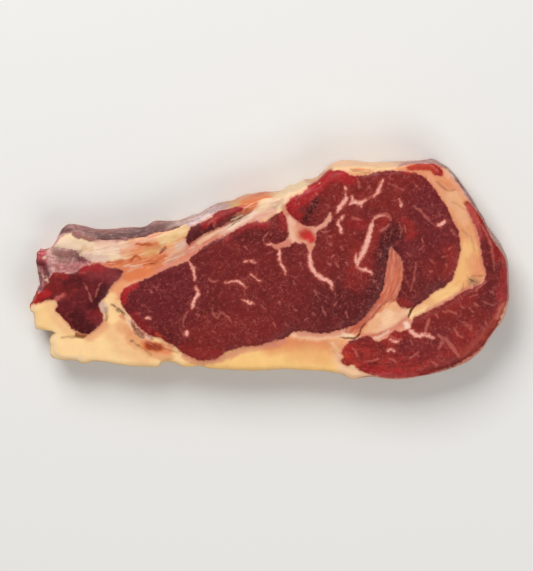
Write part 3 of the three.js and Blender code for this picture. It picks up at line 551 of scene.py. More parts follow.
# Tints of the lean, in the same order.
LEAN_TINTS = [
    (RED_LEAN, 0.30, 20, 20, [(268, 262), (340, 210)]),
    (RED_LEAN, 0.6, 8, 14, [(345, 184), (380, 182), (415, 212)]),
    (RED_LEAN, 0.4, 5, 8, [(430, 250), (440, 262), (446, 240)]),
    (PLUM_LEAN, 0.6, 6, 12, [(400, 245), (425, 232), (428, 205)]),
    (PLUM_LEAN, 0.7, 8, 12, [(150, 300), (175, 290)]),
    (DEEP_LEAN_AND_SHADE, 0.35, 5, 10, [(330, 300), (350, 305), (370, 290)]),
    (RED_LEAN, 0.5, 6, 10, [(210, 340), (240, 330), (262, 336)]),
    (RED_LEAN, 0.4, 3, 6, [(322, 262), (340, 240), (352, 246)]),
    (BRIGHT_LEAN, 0.6, 2.0, 4, [(404, 226), (409, 232)]),
    (BRIGHT_LEAN, 0.5, 1.0, 3, [(382, 222), (378, 232), (374, 246)]),
    (BRIGHT_LEAN, 0.4, 3, 6, [(362, 258), (356, 280)]),
    # the cap
    (RED_LEAN, 0.65, 12, 8, [(384, 352), (430, 345), (475, 318), (495, 282)]),
    (BRIGHT_LEAN, 0.55, 4, 5, [(352, 354), (384, 366), (420, 362)]),
    (BRIGHT_LEAN, 0.4, 3, 5, [(440, 355), (470, 332)]),
    (PLUM_LEAN, 0.5, 3, 5, [(408, 350), (424, 352), (440, 340)]),
    (RED_LEAN, 0.8, 1.5, 4, [(420, 318), (444, 308), (468, 296), (486, 286)]),
    (BRIGHT_LEAN, 0.5, 1.5, 3, [(468, 210), (478, 226), (484, 240)]),
    (ORANGE_LEAN, 0.7, 0.8, 1.8, [(467, 206), (472, 213), (476, 222)]),
    (ROSE_LEAN_AND_HIGHLIGHT, 0.6, 0.3, 1.4, [(468, 207), (473, 216), (477, 226), (481, 240), (483, 254)]),
    (DARK_LEAN, 0.9, 3.0, 4, [(488, 244), (491, 262), (492, 282), (486, 300)]),
    (BRIGHT_LEAN, 0.5, 1.5, 3, [(484, 222), (494, 240), (498, 256)]),
    (CRIMSON, 0.8, 1.2, 2.5, [(368, 371), (384, 374), (404, 374)]),
    (ROSE_LEAN_AND_HIGHLIGHT, 0.6, 0.4, 1.6, [(372, 374), (386, 376), (402, 377), (418, 375)]),
    (ORANGE_LEAN, 0.6, 0.4, 1.4, [(344, 347), (343, 352), (347, 357)]),
    (ORANGE_LEAN, 0.5, 0.4, 1.4, [(345, 363), (352, 362), (358, 366)]),
    (BRIGHT_LEAN, 0.6, 1.5, 2.5, [(348, 350), (352, 360)]),
    (BRIGHT_LEAN, 0.5, 1.0, 3, [(412, 373), (436, 368)]),
    # partly painted highlight: pink glints on the cap's dark red right edge
    (ROSE_LEAN_AND_HIGHLIGHT, 0.45, 0.8, 2.0, [(503, 250), (506, 266), (507, 284), (504, 300)]),
    (CRIMSON, 0.5, 0.6, 2.4, [(503, 272), (502, 286), (500, 298)]),
    (ORANGE_LEAN, 0.4, 0.6, 3.2, [(493, 325), (484, 336), (472, 348), (462, 355)]),
    (ORANGE_LEAN, 0.6, 0.4, 2.4, [(503, 302), (500, 311), (496, 318)]),
    (PINK_FAT, 0.5, 0.2, 1.4, [(504, 304), (501, 311), (497, 318)]),
    (BRIGHT_LEAN, 0.6, 2, 4, [(398, 332), (390, 338)]),
    # the high corner and the top edges
    (CRIMSON, 0.9, 2.0, 4.0, [(290, 204), (298, 199), (306, 195), (314, 188), (321, 181),
                              (329, 175), (340, 174)]),
    (CRIMSON, 0.75, 1.5, 3.5, [(336, 175), (350, 179)]),
    (CRIMSON, 0.6, 1.5, 2.5, [(291, 211), (297, 217)]),
    # painted highlight: a pink glint along the high corner's edge
    (ROSE_LEAN_AND_HIGHLIGHT, 0.5, 0.2, 1.2, [(300, 196), (308, 191), (316, 184), (323, 177)]),
    (CRIMSON, 0.9, 2, 2.5, [(408, 168), (420, 166), (432, 169), (438, 174)]),
    (ORANGE_LEAN, 0.7, 1, 2.5, [(410, 169), (422, 167), (432, 170)]),
    (CRIMSON, 0.5, 0.8, 2.5, [(282, 214), (284, 220), (284, 228)]),
    (CRIMSON, 0.7, 0.8, 2.5, [(238, 231), (246, 226), (254, 224), (266, 224)]),
    (CRIMSON, 0.4, 0.5, 2.5, [(226, 238), (234, 233), (240, 230)]),
    (CRIMSON, 0.9, 1.2, 2.5, [(122, 300), (123, 293), (128, 287), (134, 284)]),
    (CRIMSON, 0.35, 0.8, 2.5, [(134, 315), (142, 324), (152, 333), (168, 345)]),
    (ORANGE_LEAN, 0.8, 0.3, 1.1, [(156, 334), (160, 336.5)]),
    (DEEP_LEAN_AND_SHADE, 0.9, 0.4, 0.8, [(170, 335), (170.5, 341)]),
    (BRIGHT_LEAN, 0.4, 2, 4, [(184, 352), (200, 357), (216, 356)]),
    # the rib end
    (PLUM_LEAN, 0.7, 8, 8, [(66, 290), (90, 280), (90, 310)]),
    # painted sheen: a faint pink sheen over the rib meat
    (ROSE_LEAN_AND_HIGHLIGHT, 0.2, 2.0, 4, [(92, 272), (102, 272), (112, 276)]),
    (CRIMSON, 0.95, 1.6, 2.5, [(36, 299), (41, 296), (46, 294)]),
    (ROSE_LEAN_AND_HIGHLIGHT, 0.8, 0.5, 1.4, [(55, 300), (59, 297), (63, 295)]),
    (RED_LEAN, 0.6, 1.5, 3.5, [(50, 282), (62, 292), (72, 290)]),
    (BRIGHT_LEAN, 0.6, 0.8, 2.5, [(56, 274), (66, 275)]),
    (CRIMSON, 0.6, 1.2, 3, [(80, 270), (90, 267), (100, 267)]),
    (CRIMSON, 0.2, 1.5, 3.5, [(92, 312), (98, 318), (99, 326)]),
    # painted shade in the dark fold of the rib meat
    (DEEP_LEAN_AND_SHADE, 0.8, 1.4, 3, [(103, 291), (97, 300), (91, 306)]),
    (DEEP_LEAN_AND_SHADE, 0.7, 2.0, 4, [(76, 316), (80, 324), (90, 330)]),
    (DEEP_LEAN_AND_SHADE, 0.4, 2, 4, [(76, 278), (70, 286)]),
    # folds and shadows: painted shade in the fold at the high corner and by the wedge's tip, with
    # darker and redder patches of the lean
    (DEEP_LEAN_AND_SHADE, 0.85, 0.8, 2.2, [(315.5, 201), (312, 208), (309, 214), (306, 219)]),
    (DEEP_LEAN_AND_SHADE, 0.75, 2.5, 5, [(396, 232), (388, 240), (384, 254)]),
    (DEEP_LEAN_AND_SHADE, 0.4, 1.2, 4, [(384, 262), (380, 280), (372, 292)]),
    (DEEP_LEAN_AND_SHADE, 0.4, 2, 5, [(240, 234), (270, 238), (284, 242)]),
    (DEEP_LEAN_AND_SHADE, 0.6, 1.0, 2.5, [(192, 238), (200, 233), (212, 229)]),
    (MAROON_AND_SHADE, 0.4, 0.5, 2.0, [(186, 238), (190, 234), (196, 230)]),
    (CRIMSON, 0.6, 1.0, 2.5, [(204, 224), (214, 219), (226, 211), (240, 209)]),
    (BRIGHT_LEAN, 0.5, 1.0, 3, [(400, 303), (410, 306)]),
    (BRIGHT_LEAN, 0.4, 1.5, 4, [(450, 250), (454, 262), (450, 274)]),
    (CRIMSON, 0.4, 1.5, 3, [(352, 222), (362, 224)]),
]

# Tints of the skin and membrane on the wall and in the hollow, in the same order.
SKIN_TINTS = [
    (YELLOW_FAT, 0.5, 4, 5, [(60, 362), (150, 366), (240, 370), (340, 374)]),
    (PURPLE_SKIN, 1.0, 7, 3, [(52, 240), (62, 232), (80, 230), (105, 234), (132, 234),
                              (150, 228), (170, 220)]),
    (ROSE_SKIN, 0.7, 0.8, 2.0, [(64, 226), (74, 224.5), (85, 226), (105, 228.5), (128, 229),
                                (146, 225.5), (164, 220.5)]),
    (DULL_PURPLE, 0.7, 1.0, 2.5, [(84, 235), (98, 238), (112, 238), (124, 237.5), (138, 234)]),
    (DULL_PURPLE, 0.5, 0.6, 1.6, [(120, 233), (134, 231), (146, 229)]),
    (IVORY_AND_HIGHLIGHT, 1.0, 1.3, 0.8, [(56, 242), (60, 239), (65, 237.5), (71, 237)]),
    (MAROON_AND_SHADE, 0.8, 0.8, 1.6, [(61, 232.5), (65, 231), (69, 232)]),
    (ROSE_SKIN, 0.6, 0.4, 1.4, [(74, 231), (84, 233), (94, 237)]),
    (PALE_LILAC, 1.0, 3.0, 2.5, [(190, 222), (198, 218), (207, 214), (216, 211)]),
    (LILAC_AND_HIGHLIGHT, 0.9, 2.0, 3, [(178, 220), (188, 216), (202, 209), (216, 205), (232, 203)]),
    (PALE_LILAC, 0.6, 0.4, 1.4, [(192, 216), (202, 211), (214, 207)]),
    (DULL_PURPLE, 0.6, 1.0, 2.5, [(138, 234), (154, 229), (168, 224)]),
    (MILKY_FAT, 0.6, 0.8, 2, [(170, 226), (186, 219), (200, 213)]),
    (OCHRE, 0.9, 2.0, 3, [(236, 204), (244, 201), (252, 199)]),
    (BRIGHT_ORANGE, 0.95, 1.6, 3, [(246, 201), (254, 198), (264, 195.5), (270, 194)]),
    (PINK_WHITE, 0.7, 0.3, 1.2, [(236, 199.5), (248, 196), (260, 193)]),
    (RED_STAIN, 0.5, 0.4, 1.4, [(246, 196), (256, 194), (264, 193)]),
    (IVORY_AND_HIGHLIGHT, 1.0, 3, 4, [(278, 190), (290, 186), (304, 182), (314, 178)]),
    (PALE_FAT, 1.0, 2, 3, [(330, 163), (350, 161), (380, 162), (402, 163)]),
    # painted highlight: a lilac glint along the crimson edge of the high corner
    (LILAC_AND_HIGHLIGHT, 0.9, 0.6, 2.0, [(318, 179), (322, 174), (328, 169)]),
    (CRIMSON, 1.0, 0.9, 1.0, [(308, 190.5), (313, 187), (319, 181.5), (324, 176.5), (331, 173)]),
    (ROSE_SKIN, 1.0, 3, 4, [(406, 162), (424, 160), (436, 162), (446, 168), (456, 180), (468, 196),
                            (482, 214), (494, 231), (506, 246)]),
    (LILAC_AND_HIGHLIGHT, 0.9, 0.8, 2, [(402, 161), (424, 158), (440, 163), (450, 170), (460, 183), (472, 200),
                          (484, 216), (498, 236)]),
    (DULL_PURPLE, 0.45, 0.4, 1.6, [(448, 172), (454, 178), (460, 187)]),
    (DULL_PURPLE, 0.25, 0.4, 1.6, [(470, 200), (480, 214), (492, 230)]),
    (CHALKY_FAT_AND_HIGHLIGHT, 0.8, 0.6, 1.4, [(446, 172), (449, 176), (452, 181)]),
    (ROSE_SKIN, 0.9, 3, 5, [(508, 262), (510, 290), (504, 314), (492, 334), (476, 352),
                            (456, 365), (430, 373)]),
    (PINK_WHITE, 0.6, 1, 2, [(506, 306), (494, 334), (478, 350), (458, 362), (436, 370)]),
    (ROSE_LEAN_AND_HIGHLIGHT, 0.6, 3, 5, [(424, 377), (396, 381), (370, 379)]),
    # the flap
    (FLAP_SKIN, 1.0, 10, 4, [(46, 262), (62, 258), (80, 260)]),
    (FLAP_SKIN, 1.0, 3, 2, [(40, 276), (40, 286)]),
    (CRIMSON, 0.9, 2.4, 1.6, [(33, 294), (32, 301)]),
    (ROSE_SKIN, 0.6, 0.8, 2.0, [(50, 257), (58, 257), (68, 262)]),
    # painted shade in the deepest, inner end of the hollow
    (MAROON_AND_SHADE, 0.8, 0.6, 1.6, [(72, 252), (78, 256), (84, 260)]),
    (MAROON_AND_SHADE, 0.3, 0.3, 1.2, [(66, 255), (70, 258), (77, 261)]),
    (ROSE_SKIN, 0.7, 0.5, 1.6, [(46, 250), (54, 249.5), (64, 251)]),
    (ROSE_SKIN, 0.9, 0.9, 2.0, [(53, 268), (62, 266), (72, 268), (81, 264)]),
    (PINK_LIP, 0.4, 0.8, 2.5, [(54, 269), (64, 268.5), (74, 268), (88, 263)]),
    # painted light that lifts the hollow where the ridge above shades it
    (PAINTED_LIGHT_SKIN, 1.0, 2.2, 2.5, [(50, 253), (60, 253), (70, 255)]),
    (PINK_LIP, 1.0, 1.9, 2.6, [(37, 251), (40, 255), (43, 260)]),
    (MAROON_AND_SHADE, 0.85, 2.4, 2.5, [(42, 267), (42, 275), (43, 285)]),
    (CRIMSON, 0.5, 1.2, 2.5, [(41, 266), (42, 275), (43, 283)]),
    (MAROON_AND_SHADE, 0.6, 0.6, 2.0, [(40, 263), (44, 268), (46, 276)]),
    (ROSE_SKIN, 0.6, 0.4, 1.4, [(38, 264), (40, 274), (42, 284)]),
    # painted highlights: white glints on the wet membrane of the flap
    (CHALKY_FAT_AND_HIGHLIGHT, 0.8, 0.3, 1.0, [(45, 258), (46.5, 257.5)]),
    (CHALKY_FAT_AND_HIGHLIGHT, 0.6, 0.2, 0.9, [(40, 275), (41, 277)]),
    (CHALKY_FAT_AND_HIGHLIGHT, 0.7, 0.3, 1.0, [(46, 280), (48, 281)]),
    (CHALKY_FAT_AND_HIGHLIGHT, 0.6, 0.3, 1.0, [(52, 269), (54, 270)]),
]

# Where the wall cuts through the cap: strength, radius, soft edge, route.
LEAN_SIDE = (1.0, 12, 6, [(372, 384), (400, 388), (440, 380), (476, 362), (500, 330), (514, 290),
                          (512, 258)])

# Where the skin is a mottled membrane rather than smooth fat.
MEMBRANE = [
    (1.0, 7, 3, [(44, 262), (66, 260), (84, 258)]),
    (1.0, 5, 3, [(56, 238), (66, 229), (100, 232), (140, 231), (170, 222), (210, 208)]),
    (0.9, 3, 3, [(430, 160), (450, 174), (470, 198), (500, 240)]),
]

# Where the fat is frayed into dark and pale tatters.
FRAYED = [
    (1.0, 1.6, 1.6, [(128, 318), (134, 325), (140, 331), (147, 337)]),
    (0.5, 1.0, 1.5, [(116, 307), (121, 312), (126, 317)]),
    (0.7, 1.2, 1.5, [(384, 253), (391, 249), (398, 256), (401, 266)]),
    (0.6, 1.0, 1.5, [(470, 283), (477, 281), (484, 277)]),
    (0.5, 1.0, 2.0, [(152, 338), (166, 343), (180, 352)]),
]

# Where the fibres of the cap lie level and show as streaks.
LEVEL_FIBRES = [(1.0, 5, 6, [(350, 352), (372, 362), (400, 366), (430, 360)])]

# ---------------------------------------------------------------- drawing on the grid

def smooth_line(route, closed=False, step=0.7):
    """Points about a step apart, in millimetres, on a smooth line through a route's squares."""
    p = np.array(route, float) * SQUARE
    ends = (p[-1:], p[:2]) if closed else (2 * p[:1] - p[1:2], 2 * p[-1:] - p[-2:-1])
    p = np.vstack([ends[0], p, ends[1]])
    line = []
    for a, b, c, d in zip(p, p[1:], p[2:], p[3:]):
        t = np.cumsum([0, *(np.linalg.norm(q - r) ** 0.5 for q, r in ((b, a), (c, b), (d, c)))])
        count = max(1, math.ceil(np.linalg.norm(c - b) / step))
        u = np.linspace(t[1], t[2], count, endpoint=False)[:, None]
        ab = ((t[1] - u) * a + (u - t[0]) * b) / (t[1] - t[0])
        bc = ((t[2] - u) * b + (u - t[1]) * c) / (t[2] - t[1])
        cd = ((t[3] - u) * c + (u - t[2]) * d) / (t[3] - t[2])
        abc = ((t[2] - u) * ab + (u - t[0]) * bc) / (t[2] - t[0])
        bcd = ((t[3] - u) * bc + (u - t[1]) * cd) / (t[3] - t[1])
        line.extend(((t[2] - u) * abc + (u - t[1]) * bcd) / (t[2] - t[1]))
    if not closed:
        line.append(p[-2])
    return np.array(line)


def near(line, places, reach):
    """Which of the places lie within reach of the line's own box."""
    low, high = line.min(0) - reach, line.max(0) + reach
    return np.nonzero(((places > low) & (places < high)).all(1))[0]


def gap_to(line, places, reach, closed=False):
    """Distance from each place to a line, at most reach."""
    gap = np.full(len(places), float(reach))
    chosen = near(line, places, reach)
    start = line if closed else line[:-1]
    end = np.roll(line, -1, 0) if closed else line[1:]
    spot = places[chosen]
    best = np.full(len(chosen), float(reach) ** 2)
    for a, b in zip(start, end):
        along = b - a
        share = np.clip((spot - a) @ along / max(along @ along, 1e-9), 0, 1)
        away = spot - a - share[:, None] * along
        best = np.minimum(best, (away ** 2).sum(1))
    gap[chosen] = np.sqrt(best)
    return gap


def offset_from(routes, places, reach):
    """Distance of each place from the nearest route, below 0 on one side of it."""
    offset = np.zeros(len(places))
    nearest = np.full(len(places), float(reach))
    for route in routes:
        line = smooth_line(route, step=1.5)
        chosen = near(line, places, reach)
        spot = places[chosen]
        for a, b in zip(line, line[1:]):
            along = b - a
            share = np.clip((spot - a) @ along / (along @ along), 0, 1)
            away = spot - a - share[:, None] * along
            gap = np.sqrt((away ** 2).sum(1))
            closer = gap < nearest[chosen]
            side = np.sign(along[0] * away[:, 1] - along[1] * away[:, 0])
            offset[chosen[closer]] = (gap * side)[closer]
            nearest[chosen[closer]] = gap[closer]
    return offset


def depth_in(outline, places, reach=14):
    """How far inside an outline each place is: negative outside it."""
    ring = smooth_line(outline, closed=True)
    inside = np.zeros(len(places), bool)
    for (ax, ay), (bx, by) in zip(ring, np.roll(ring, -1, 0)):
        if ay != by:
            level = (ay > places[:, 1]) != (by > places[:, 1])
            inside ^= level & (places[:, 0] < ax + (places[:, 1] - ay) * (bx - ax) / (by - ay))
    return np.where(inside, 1, -1) * gap_to(ring, places, reach, closed=True)


def depth_in_stroke(width, route, places, reach=4):
    """How far inside a stroke that tapers to both ends each place is."""
    line = smooth_line(route, step=0.35)
    share = np.linspace(0, math.pi, len(line))
    half = width / 2 * (END_WIDTH + (1 - END_WIDTH) * np.sqrt(np.sin(share).clip(0)))
    depth = np.full(len(places), -float(reach))
    chosen = near(line, places, reach)
    for centre, radius in zip(line, half):
        gap = np.sqrt(((places[chosen] - centre) ** 2).sum(1))
        depth[chosen] = np.maximum(depth[chosen], radius - gap)
    return depth


def ease(value, low, high):
    """0 below low and 1 above high, with a soft turn at both."""
    t = np.clip((value - low) / (high - low), 0, 1)
    return t * t * (3 - 2 * t)


def cover_of(strength, radius, soft, route, places):
    """How strongly a soft-edged stroke covers each place."""
    gap = gap_to(smooth_line(route, step=2), places, radius + soft)
    return strength * ease(-gap, -radius - soft, -radius)


def covered(strokes, places):
    """How strongly the strongest of several strokes covers each place."""
    return np.max([cover_of(*stroke, places) for stroke in strokes], axis=0)


def tinted(base, tints, places):
    """A colour for each place: the base, with each tint laid softly over it in turn."""
    colour = np.tile(base, (len(places), 1))
    for tint, *stroke in tints:
        cover = cover_of(*stroke, places)[:, None]
        colour = colour * (1 - cover) + tint * cover
    return colour


def wander(spots, size, seed):
    """Soft noise between -1 and 1 at each spot, with lumps of the given size."""
    shift = Vector((seed * 17.3, seed * 5.1, seed * 9.7))
    return np.array([noise.noise(Vector(spot) / size + shift) for spot in spots])


# ---------------------------------------------------------------- the flesh

def select_only(piece):
    """Selects a piece and nothing else."""
    bpy.ops.object.select_all(action="DESELECT")
    piece.select_set(True)
    bpy.context.view_layer.objects.active = piece


def finish_with(piece, kind, **settings):
    """Adds a modifier to a piece and applies it."""
    select_only(piece)
    modifier = piece.modifiers.new(kind.title(), kind)
    for name, value in settings.items():
        setattr(modifier, name, value)
    bpy.ops.object.modifier_apply(modifier=modifier.name)


def flesh_blank(node):
    """A copy of the solid as an even mesh, finer wherever it faces upwards more than a little, as
    the cut face does.
    """
    piece = bpy.data.objects.new("raw_steak", node.data.copy())
    bpy.context.scene.collection.objects.link(piece)
    piece.data.materials.clear()
    select_only(piece)
    bpy.ops.object.mode_set(mode="EDIT")
    bpy.ops.mesh.select_all(action="SELECT")
    bpy.ops.mesh.remove_doubles(threshold=0.001 * MM)
    bpy.ops.object.mode_set(mode="OBJECT")
    finish_with(piece, "REMESH", mode="VOXEL", voxel_size=COARSE * MM)
    finish_with(piece, "SMOOTH", factor=0.5, iterations=2)
    finish_with(piece, "SHRINKWRAP", target=node, wrap_method="NEAREST_SURFACEPOINT")
    mesh = piece.data
    up = np.empty(len(mesh.polygons) * 3)
    mesh.polygons.foreach_get("normal", up)
    bpy.ops.object.mode_set(mode="EDIT")
    bpy.ops.mesh.select_mode(type="FACE")
    bpy.ops.mesh.select_all(action="DESELECT")
    bpy.ops.object.mode_set(mode="OBJECT")
    mesh.polygons.foreach_set("select", up[2::3] > REFINED_TURN)
    bpy.ops.object.mode_set(mode="EDIT")
    bpy.ops.mesh.subdivide(number_cuts=1)
    bpy.ops.object.mode_set(mode="OBJECT")
    finish_with(piece, "SMOOTH", factor=0.5, iterations=2)
    level = (read(mesh, "vertex_normals", "vector")[:, 2] > SMOOTH_TURN).nonzero()[0]
    piece.vertex_groups.new(name="cut_face").add(level.tolist(), 1.0, "REPLACE")
    finish_with(piece, "SMOOTH", factor=0.5, iterations=14, vertex_group="cut_face")
    return piece


def read(mesh, what, attribute):
    """Three numbers for each point of the mesh, such as its place or its normal."""
    values = np.empty(len(mesh.vertices) * 3, np.float32)
    getattr(mesh, what).foreach_get(attribute, values)
    return values.reshape(-1, 3).astype(float)


def keep(mesh, name, values):
    """Stores a number or a colour for each point of the mesh, for the material to read."""
    if values.ndim == 1:
        layer = mesh.attributes.new(name, "FLOAT", "POINT")
        layer.data.foreach_set("value", values.astype(np.float32))
    else:
        layer = mesh.attributes.new(name, "FLOAT_COLOR", "POINT")
        filled = np.ones((len(values), 4), np.float32)
        filled[:, :3] = values
        layer.data.foreach_set("color", filled.ravel())


def shown_share(normals):
    """1 on what faces the camera, 0 on what faces away."""
    return ease(normals[:, 1] * math.sin(TILT) + normals[:, 2] * math.cos(TILT), 0.0, 0.12)


def depth_below(spots):
    """How far down each spot lies, from 0 at the cut face to 1 at the table."""
    return np.clip((FACE_HEIGHT - spots[:, 2]) / FACE_HEIGHT, 0, 1)


def grid_places(spots, normals):
    """Where the camera's grid shows each spot, in millimetres from the grid's corner.

    What faces away from the camera takes the place of the cut face straight above it, and its
    tissues wander off a little as they run down through the steak.
    """
    shown = shown_share(normals)
    height = shown * spots[:, 2] + (1 - shown) * FACE_HEIGHT
    below = (1 - shown) * depth_below(spots)
    drift = FACE_DRIFT * below
    across = spots[:, 0] + drift * wander(spots, 22, 1)
    down = height * math.sin(TILT) - spots[:, 1] * math.cos(TILT) + drift * wander(spots, 22, 2)
    return np.stack([across, down], 1) + np.array(GRID_MIDDLE) * SQUARE


def moved_along(places, amount):
    """Places moved along the grid's rows."""
    return places + np.stack([amount, 0 * amount], 1)


def wall_colour(spots, hidden, places):
    """Skin, with patches of fat and of bare lean on the walls that face away from the camera.

    Its tints run into each other more and more towards the table, except at the thin rib end.
    """
    below = depth_below(spots)
    blur = WALL_BLUR * below * ease(spots[:, 0], *RIB_END)
    sides = (-1, 0, 1)
    colour = sum(tinted(CREAM, SKIN_TINTS, moved_along(places, side * blur)) for side in sides)
    colour /= len(sides)
    patch = wander(spots * (1, 1, 0.6), 9, 15)
    streak = wander(spots * (1, 1, 0.25), 3, 16)
    lean_side = cover_of(*LEAN_SIDE, places)
    for tint, cover in (
            (PALE_FAT, 0.5 * ease(below + 0.3 * patch, 0.1, 0.7)),
            (PALE_FAT, 0.6 * ease(patch + 0.4 * streak, 0.05, 0.45)),
            (LEAN_WALL, 0.8 * lean_side * ease(-patch + 0.5 * streak, -0.15, 0.4)),
            (TAN_FAT, 0.3 * (1 - lean_side) * ease(-patch + 0.3 * streak, 0.1, 0.5))):
        cover = (cover * hidden)[:, None]
        colour = colour * (1 - cover) + tint * cover
    return colour


def shape_flesh(piece):
    """Gives the flesh its relief, and stores where each tissue lies."""
    mesh = piece.data
    spots = read(mesh, "vertices", "co") / MM
    normals = read(mesh, "vertex_normals", "vector")
    up = normals[:, 2]
    plan = grid_places(spots, normals)
    tremble = np.stack([wander(spots, 2.2, seed) for seed in (6, 7)], 1)
    drift = np.stack([wander(spots, 6, seed) for seed in (11, 12)], 1)
    rough_plan = plan + TREMBLE * tremble
    soft_plan = plan + TINT_TREMBLE * tremble + DRIFT * drift
    crack_plan = plan + CRACK_TREMBLE * tremble
    broad, small = WALL_DRIFT
    sideways = depth_below(spots) * (broad * wander(spots, 12, 13) + small * wander(spots, 5, 14))
    wall_plan = moved_along(soft_plan, sideways)

    star, hollow, wedge = (depth_in(outline, rough_plan) for outline in (STAR, HOLLOW, WEDGE))
    lean = np.max([depth_in(outline, rough_plan) for outline in LEAN], axis=0)
    lean = np.minimum(lean, -star)
    plain = np.max([depth_in(outline, plan) for outline in PLAIN_LEAN], axis=0)
    vein, fleck = (
        np.max([depth_in_stroke(width, route, rough_plan) for width, *route in strokes], axis=0)
        for strokes in (VEINS, FLECKS))
    crack_depths = [(depth_in_stroke(width, route, crack_plan), depth)
                    for width, depth, route in CRACKS]
    stringy = covered(STRINGS, soft_plan)
    across = offset_from([route for *_, route in STRINGS], plan + DRIFT * drift, 12)

    face = ease(up, *RIM_TURN)
    under = ease(-up, *RIM_TURN)
    wall = (1 - face) * (1 - under)
    in_hollow = ease(hollow, -0.6, 0.6) * (1 - under)
    mottle = wander(spots, 2.4, 3)
    lump = wander(spots, 7, 4)
    grain = wander(spots, 1.3, 5)
    fold = wander(spots * (0.35, 1, 1), 3.5, 8)
    string = wander(np.stack([spots[:, 0] * 0.16, spots[:, 1] * 0.16, across * 0.9], 1), 1, 9)
    meat = ease(lean, -0.5, 0.6)
    seam = np.exp(-((lean - SEAM_PLACE) / SEAM_WIDTH) ** 2) * (0.7 + 0.8 * lump)
    rise = face * (
        meat * (LEAN_RISE + BUNDLE_RISE * mottle + GRAIN_RISE * grain)
        + (1 - meat) * (FAT_LUMP * lump + FAT_MOTTLE * mottle + STRING_RISE * stringy * string)
        - SEAM_DIP * seam
        + VEIN_RISE * ease(vein, -0.3, 0.4)
        + WEDGE_RISE * ease(wedge, -0.2, 1.5)
        + STAR_RISE * ease(star, -0.2, 1.5)
    )
    for inside, depth in crack_depths:
        rise -= face * depth * ease(inside, -0.4, 0.5)
    rise += wall * (WALL_SWELL * (1 + lump) + WALL_MOTTLE * mottle) + in_hollow * FOLD_RISE * fold
    mesh.vertices.foreach_set("co", ((spots + normals * rise[:, None]) * MM).ravel())
    mesh.update()

    for name, values in {
            "lean_depth": lean,
            "vein_depth": vein,
            "fleck_depth": fleck,
            "crack_depth": np.max([inside for inside, _ in crack_depths], axis=0),
            "wedge_depth": wedge,
            "stringy": stringy,
            "string_across": across,
            "membrane": covered(MEMBRANE, plan),
            "frayed": covered(FRAYED, soft_plan),
            "level_fibres": covered(LEVEL_FIBRES, soft_plan),
            "level_share": ease(up, *LEVEL_TURN),
            "marbled": 1 - ease(plain, -0.5, 1.0),
            "skin_share": np.maximum(wall, in_hollow),
            "fat_tint": tinted(CREAM, FAT_TINTS, soft_plan),
            "lean_tint": tinted(DARK_LEAN, LEAN_TINTS, soft_plan),
            "skin_tint": wall_colour(spots, wall * (1 - shown_share(normals)), wall_plan),
    }.items():
        keep(mesh, name, values)
    select_only(piece)
    bpy.ops.object.shade_smooth()


# ---------------------------------------------------------------- the material

class Signal:
    """A socket of the material, so that sums on it are written as plain expressions."""

    def __init__(self, maker, socket):
        self.maker = maker
        self.socket = socket

    def worked(self, operation, *values):
        return self.maker.node("ShaderNodeMath", {"operation": operation}, dict(enumerate(values)))

    def __add__(self, other):
        return self.worked("ADD", self, other)

    def __radd__(self, other):
        return self.worked("ADD", other, self)

    def __sub__(self, other):
        return self.worked("SUBTRACT", self, other)

    def __rsub__(self, other):
        return self.worked("SUBTRACT", other, self)

    def __mul__(self, other):
        return self.worked("MULTIPLY", self, other)

    def __rmul__(self, other):
        return self.worked("MULTIPLY", other, self)

    def __abs__(self):
        return self.worked("ABSOLUTE", self)


